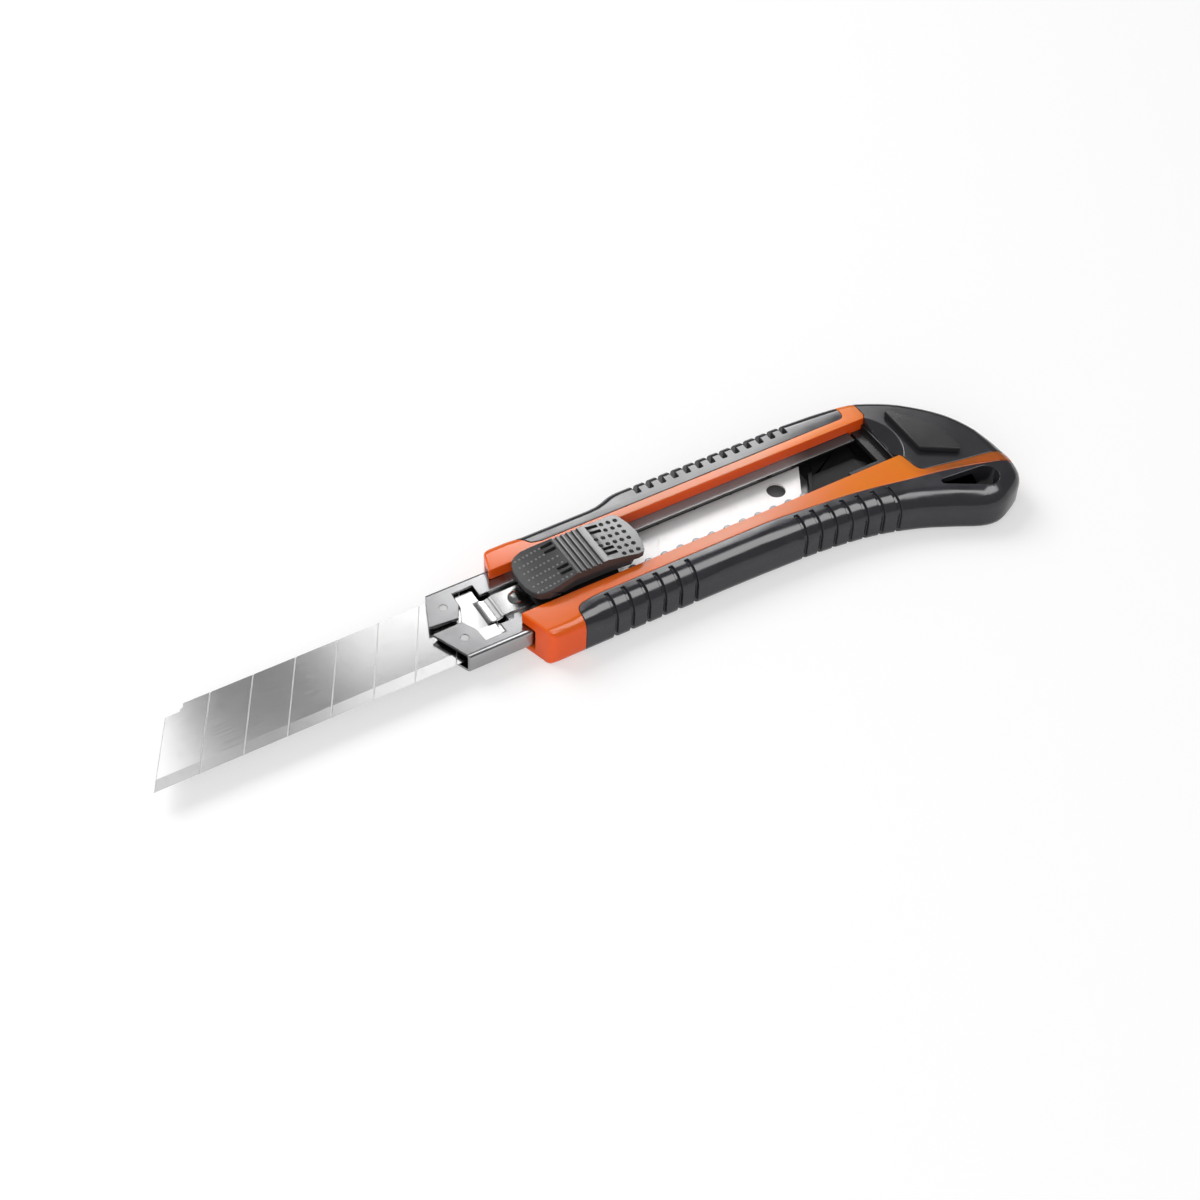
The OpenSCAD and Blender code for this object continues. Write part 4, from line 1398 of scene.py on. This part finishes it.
    def _card_mesh(self, name: str, points: Sequence[Sequence[CardPoint]]) -> bpy.types.Mesh:
        """Builds a card's mesh from what should mirror it.

        Args:
            name: Name of the mesh.
            points: Rows of mirroring points: the place, the face's direction and its coordinates.

        Returns:
            The mesh, with the coordinates as its map.
        """
        eye = self._eye()
        places, coordinates = [], []
        for place, facing, at in (point for row in points for point in row):
            ray = (place - eye).normalized()
            bounced = ray - 2 * ray.dot(facing) * facing
            places.append(place + bounced * self.card_away_mm * MM)
            coordinates.append([c / self.CARD_SPAN + self.CARD_MIDDLE for c in at])
        wide = len(points[0])
        corners = ((j * wide + i) for j in range(len(points) - 1) for i in range(wide - 1))
        faces = [(k, k + 1, k + wide + 1, k + wide) for k in corners]
        mesh = bpy.data.meshes.new(name)
        mesh.from_pydata(places, [], faces)
        layer = mesh.uv_layers.new(name="place")
        for loop in mesh.loops:
            layer.data[loop.index].uv = coordinates[loop.vertex_index]
        return mesh

    def _card(
        self,
        name: str,
        points: Sequence[Sequence[CardPoint]],
        light: Callable[[Wire, Wire], Wire],
    ) -> None:
        """Adds a curved card that is seen only where the knife mirrors it.

        Args:
            name: Name of the card.
            points: Rows of mirroring points, as for its mesh.
            light: Gives the brightness from the two coordinates.
        """
        shader = Shader(name, "ShaderNodeEmission")
        place = shader.split(shader.add("ShaderNodeTexCoord", out="UV"))
        across, along = ((part - self.CARD_MIDDLE) * self.CARD_SPAN for part in place[:2])
        shader.set(Strength=light(across, along))
        mesh = self._card_mesh(name, points)
        mesh.materials.append(shader.material)
        obj = new_piece(name, mesh)
        for kind in ("camera", "diffuse", "shadow", "transmission"):
            setattr(obj, "visible_" + kind, False)

    def _handle_light(self, x: Wire, y: Wire) -> Wire:
        """Gives the light on the nose, the rails, the grips and the spare blade.

        Args:
            x: Place along the knife in millimetres.
            y: Place across the knife in millimetres.

        Returns:
            The brightness.
        """
        shift = x.ramp(*self.NEAR_END_REAR_SHIFT) + x.ramp(*self.NEAR_END_FRONT_SHIFT)
        ends = (y + shift).ramp(*self.NEAR_END) * y.ramp(*self.FAR_END)
        ends = ends * (x - y * self.REAR_END_LEAN).ramp(*self.REAR_END)
        light = sum(x.ramp(*step) for step in self.HANDLE_STEPS) * ends
        return light * (1 - self.shaded_rail.light(x, y)) + self.far_rail.light(x, y)

    def _blade_light(self, x: Wire, y: Wire) -> Wire:
        """Gives the light on the blade's tip and on its ground bevel.

        Args:
            x: Place along the knife in millimetres.
            y: Place across the knife in millimetres.

        Returns:
            The brightness.
        """
        tip = x.ramp(*self.TIP) * y.ramp(*self.TIP_NEAR_SIDE) * y.ramp(*self.TIP_FAR_SIDE)
        bevel = x.ramp(*self.BEVEL_FRONT) + x.ramp(*self.BEVEL_REAR)
        return tip + bevel * x.ramp(*self.BEVEL_END) * y.window(*self.BEVEL_SIDES)

    def _top_light(self, x: Wire, y: Wire) -> Wire:
        """Gives the light that the knife's top mirrors at x and y."""
        wings = self.front_wing.light(x, y) + self.rear_wing.light(x, y)
        return self._handle_light(x, y) + self._blade_light(x, y) + wings + self.DIM

    def _top_card(self) -> None:
        """Sets the large card, which the knife's top mirrors."""
        rows = [
            [
                (Vector((x, y, self.top_z_mm)) * MM, UP, (x, y))
                for x in steps(self.top_x_mm, self.card_step_mm)
            ]
            for y in steps(self.top_y_mm, self.card_step_mm)
        ]
        self._card("sky_card", rows, self._top_light)

    def _ridge_card(self) -> None:
        """Sets the narrow card, which the near grip's rounded edge mirrors."""
        rows = []
        for turn in steps(self.ridge_turn_deg, self.ridge_step_deg):
            facing = Vector((0, -math.sin(math.radians(turn)), math.cos(math.radians(turn))))
            middle = Vector((0, *self.ridge_mm)) + facing * self.ridge_radius_mm
            rows.append(
                [
                    ((middle + Vector((x, 0, 0))) * MM, facing, (x, turn))
                    for x in steps(self.ridge_x_mm, self.card_step_mm)
                ]
            )
        self._card("ridge_card", rows, self.ridge.light)

    def _floor(self) -> None:
        """Lays the floor: white to the eye, with the knife's soft shadow on it."""
        mesh = bpy.data.meshes.new("floor")
        h = self.floor_half_m
        mesh.from_pydata([(-h, -h, 0), (h, -h, 0), (h, h, 0), (-h, h, 0)], [], [(0, 1, 2, 3)])
        shader = Shader("floor", "ShaderNodeAddShader")
        seen, mirrored, through = (
            shader.add("ShaderNodeLightPath", out=f"Is {kind} Ray")
            for kind in ("Camera", "Glossy", "Transmission")
        )
        colour = shader.blend(
            seen.largest(mirrored), grey(self.floor_grey), grey(self.floor_seen_grey)
        )
        glow = mirrored.largest(through) * self.floor_mirrored_glow
        glow = seen * self.floor_seen_glow + glow
        parts = (
            shader.add("ShaderNodeBsdfDiffuse", {"Color": colour}),
            shader.add("ShaderNodeEmission", {"Strength": glow}),
        )
        for part, socket in zip(parts, shader.surface.inputs):
            shader.plug(part, socket)
        mesh.materials.append(shader.material)
        new_piece("floor", mesh)

    def _sky(self) -> None:
        """Sets the even light all round, and what polished faces see of it."""
        world = bpy.data.worlds.new("studio")
        bpy.context.scene.world = world
        world.use_nodes = True
        nodes = Nodes(world.node_tree)
        seen, mirrored = (
            nodes.add("ShaderNodeLightPath", out=f"Is {kind} Ray") for kind in ("Camera", "Glossy")
        )
        front = -nodes.split(nodes.add("ShaderNodeTexCoord", out="Generated"))[1]
        near_side = front.ramp(*self.SKY_NEAR_SIDE) * self.sky_front
        polished = mirrored * (near_side + self.sky_mirrored)
        level = seen + polished + (1 - seen.largest(mirrored)) * self.sky_light
        even = nodes.add("ShaderNodeBackground", {"Strength": level})
        nodes.node("ShaderNodeOutputWorld", {"Surface": even})

    def build(self) -> None:
        """Sets up the whole studio."""
        self._camera()
        self._floor()
        self._sky()
        self._top_card()
        self._ridge_card()
        for lamp in self.lamps:
            lamp.build()
        bpy.context.scene.view_settings.view_transform = "Standard"


def main() -> None:
    """Builds the knife's looks and its studio."""
    logging.basicConfig(level=logging.INFO, format="%(name)s: %(message)s")
    FRAME.update(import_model())
    for assembly in (Handle(), Channel(), Slider(), ThumbButton(), Studio()):
        assembly.build()
        log.info("%s done", type(assembly).__name__)


if __name__ == "__main__":
    main()
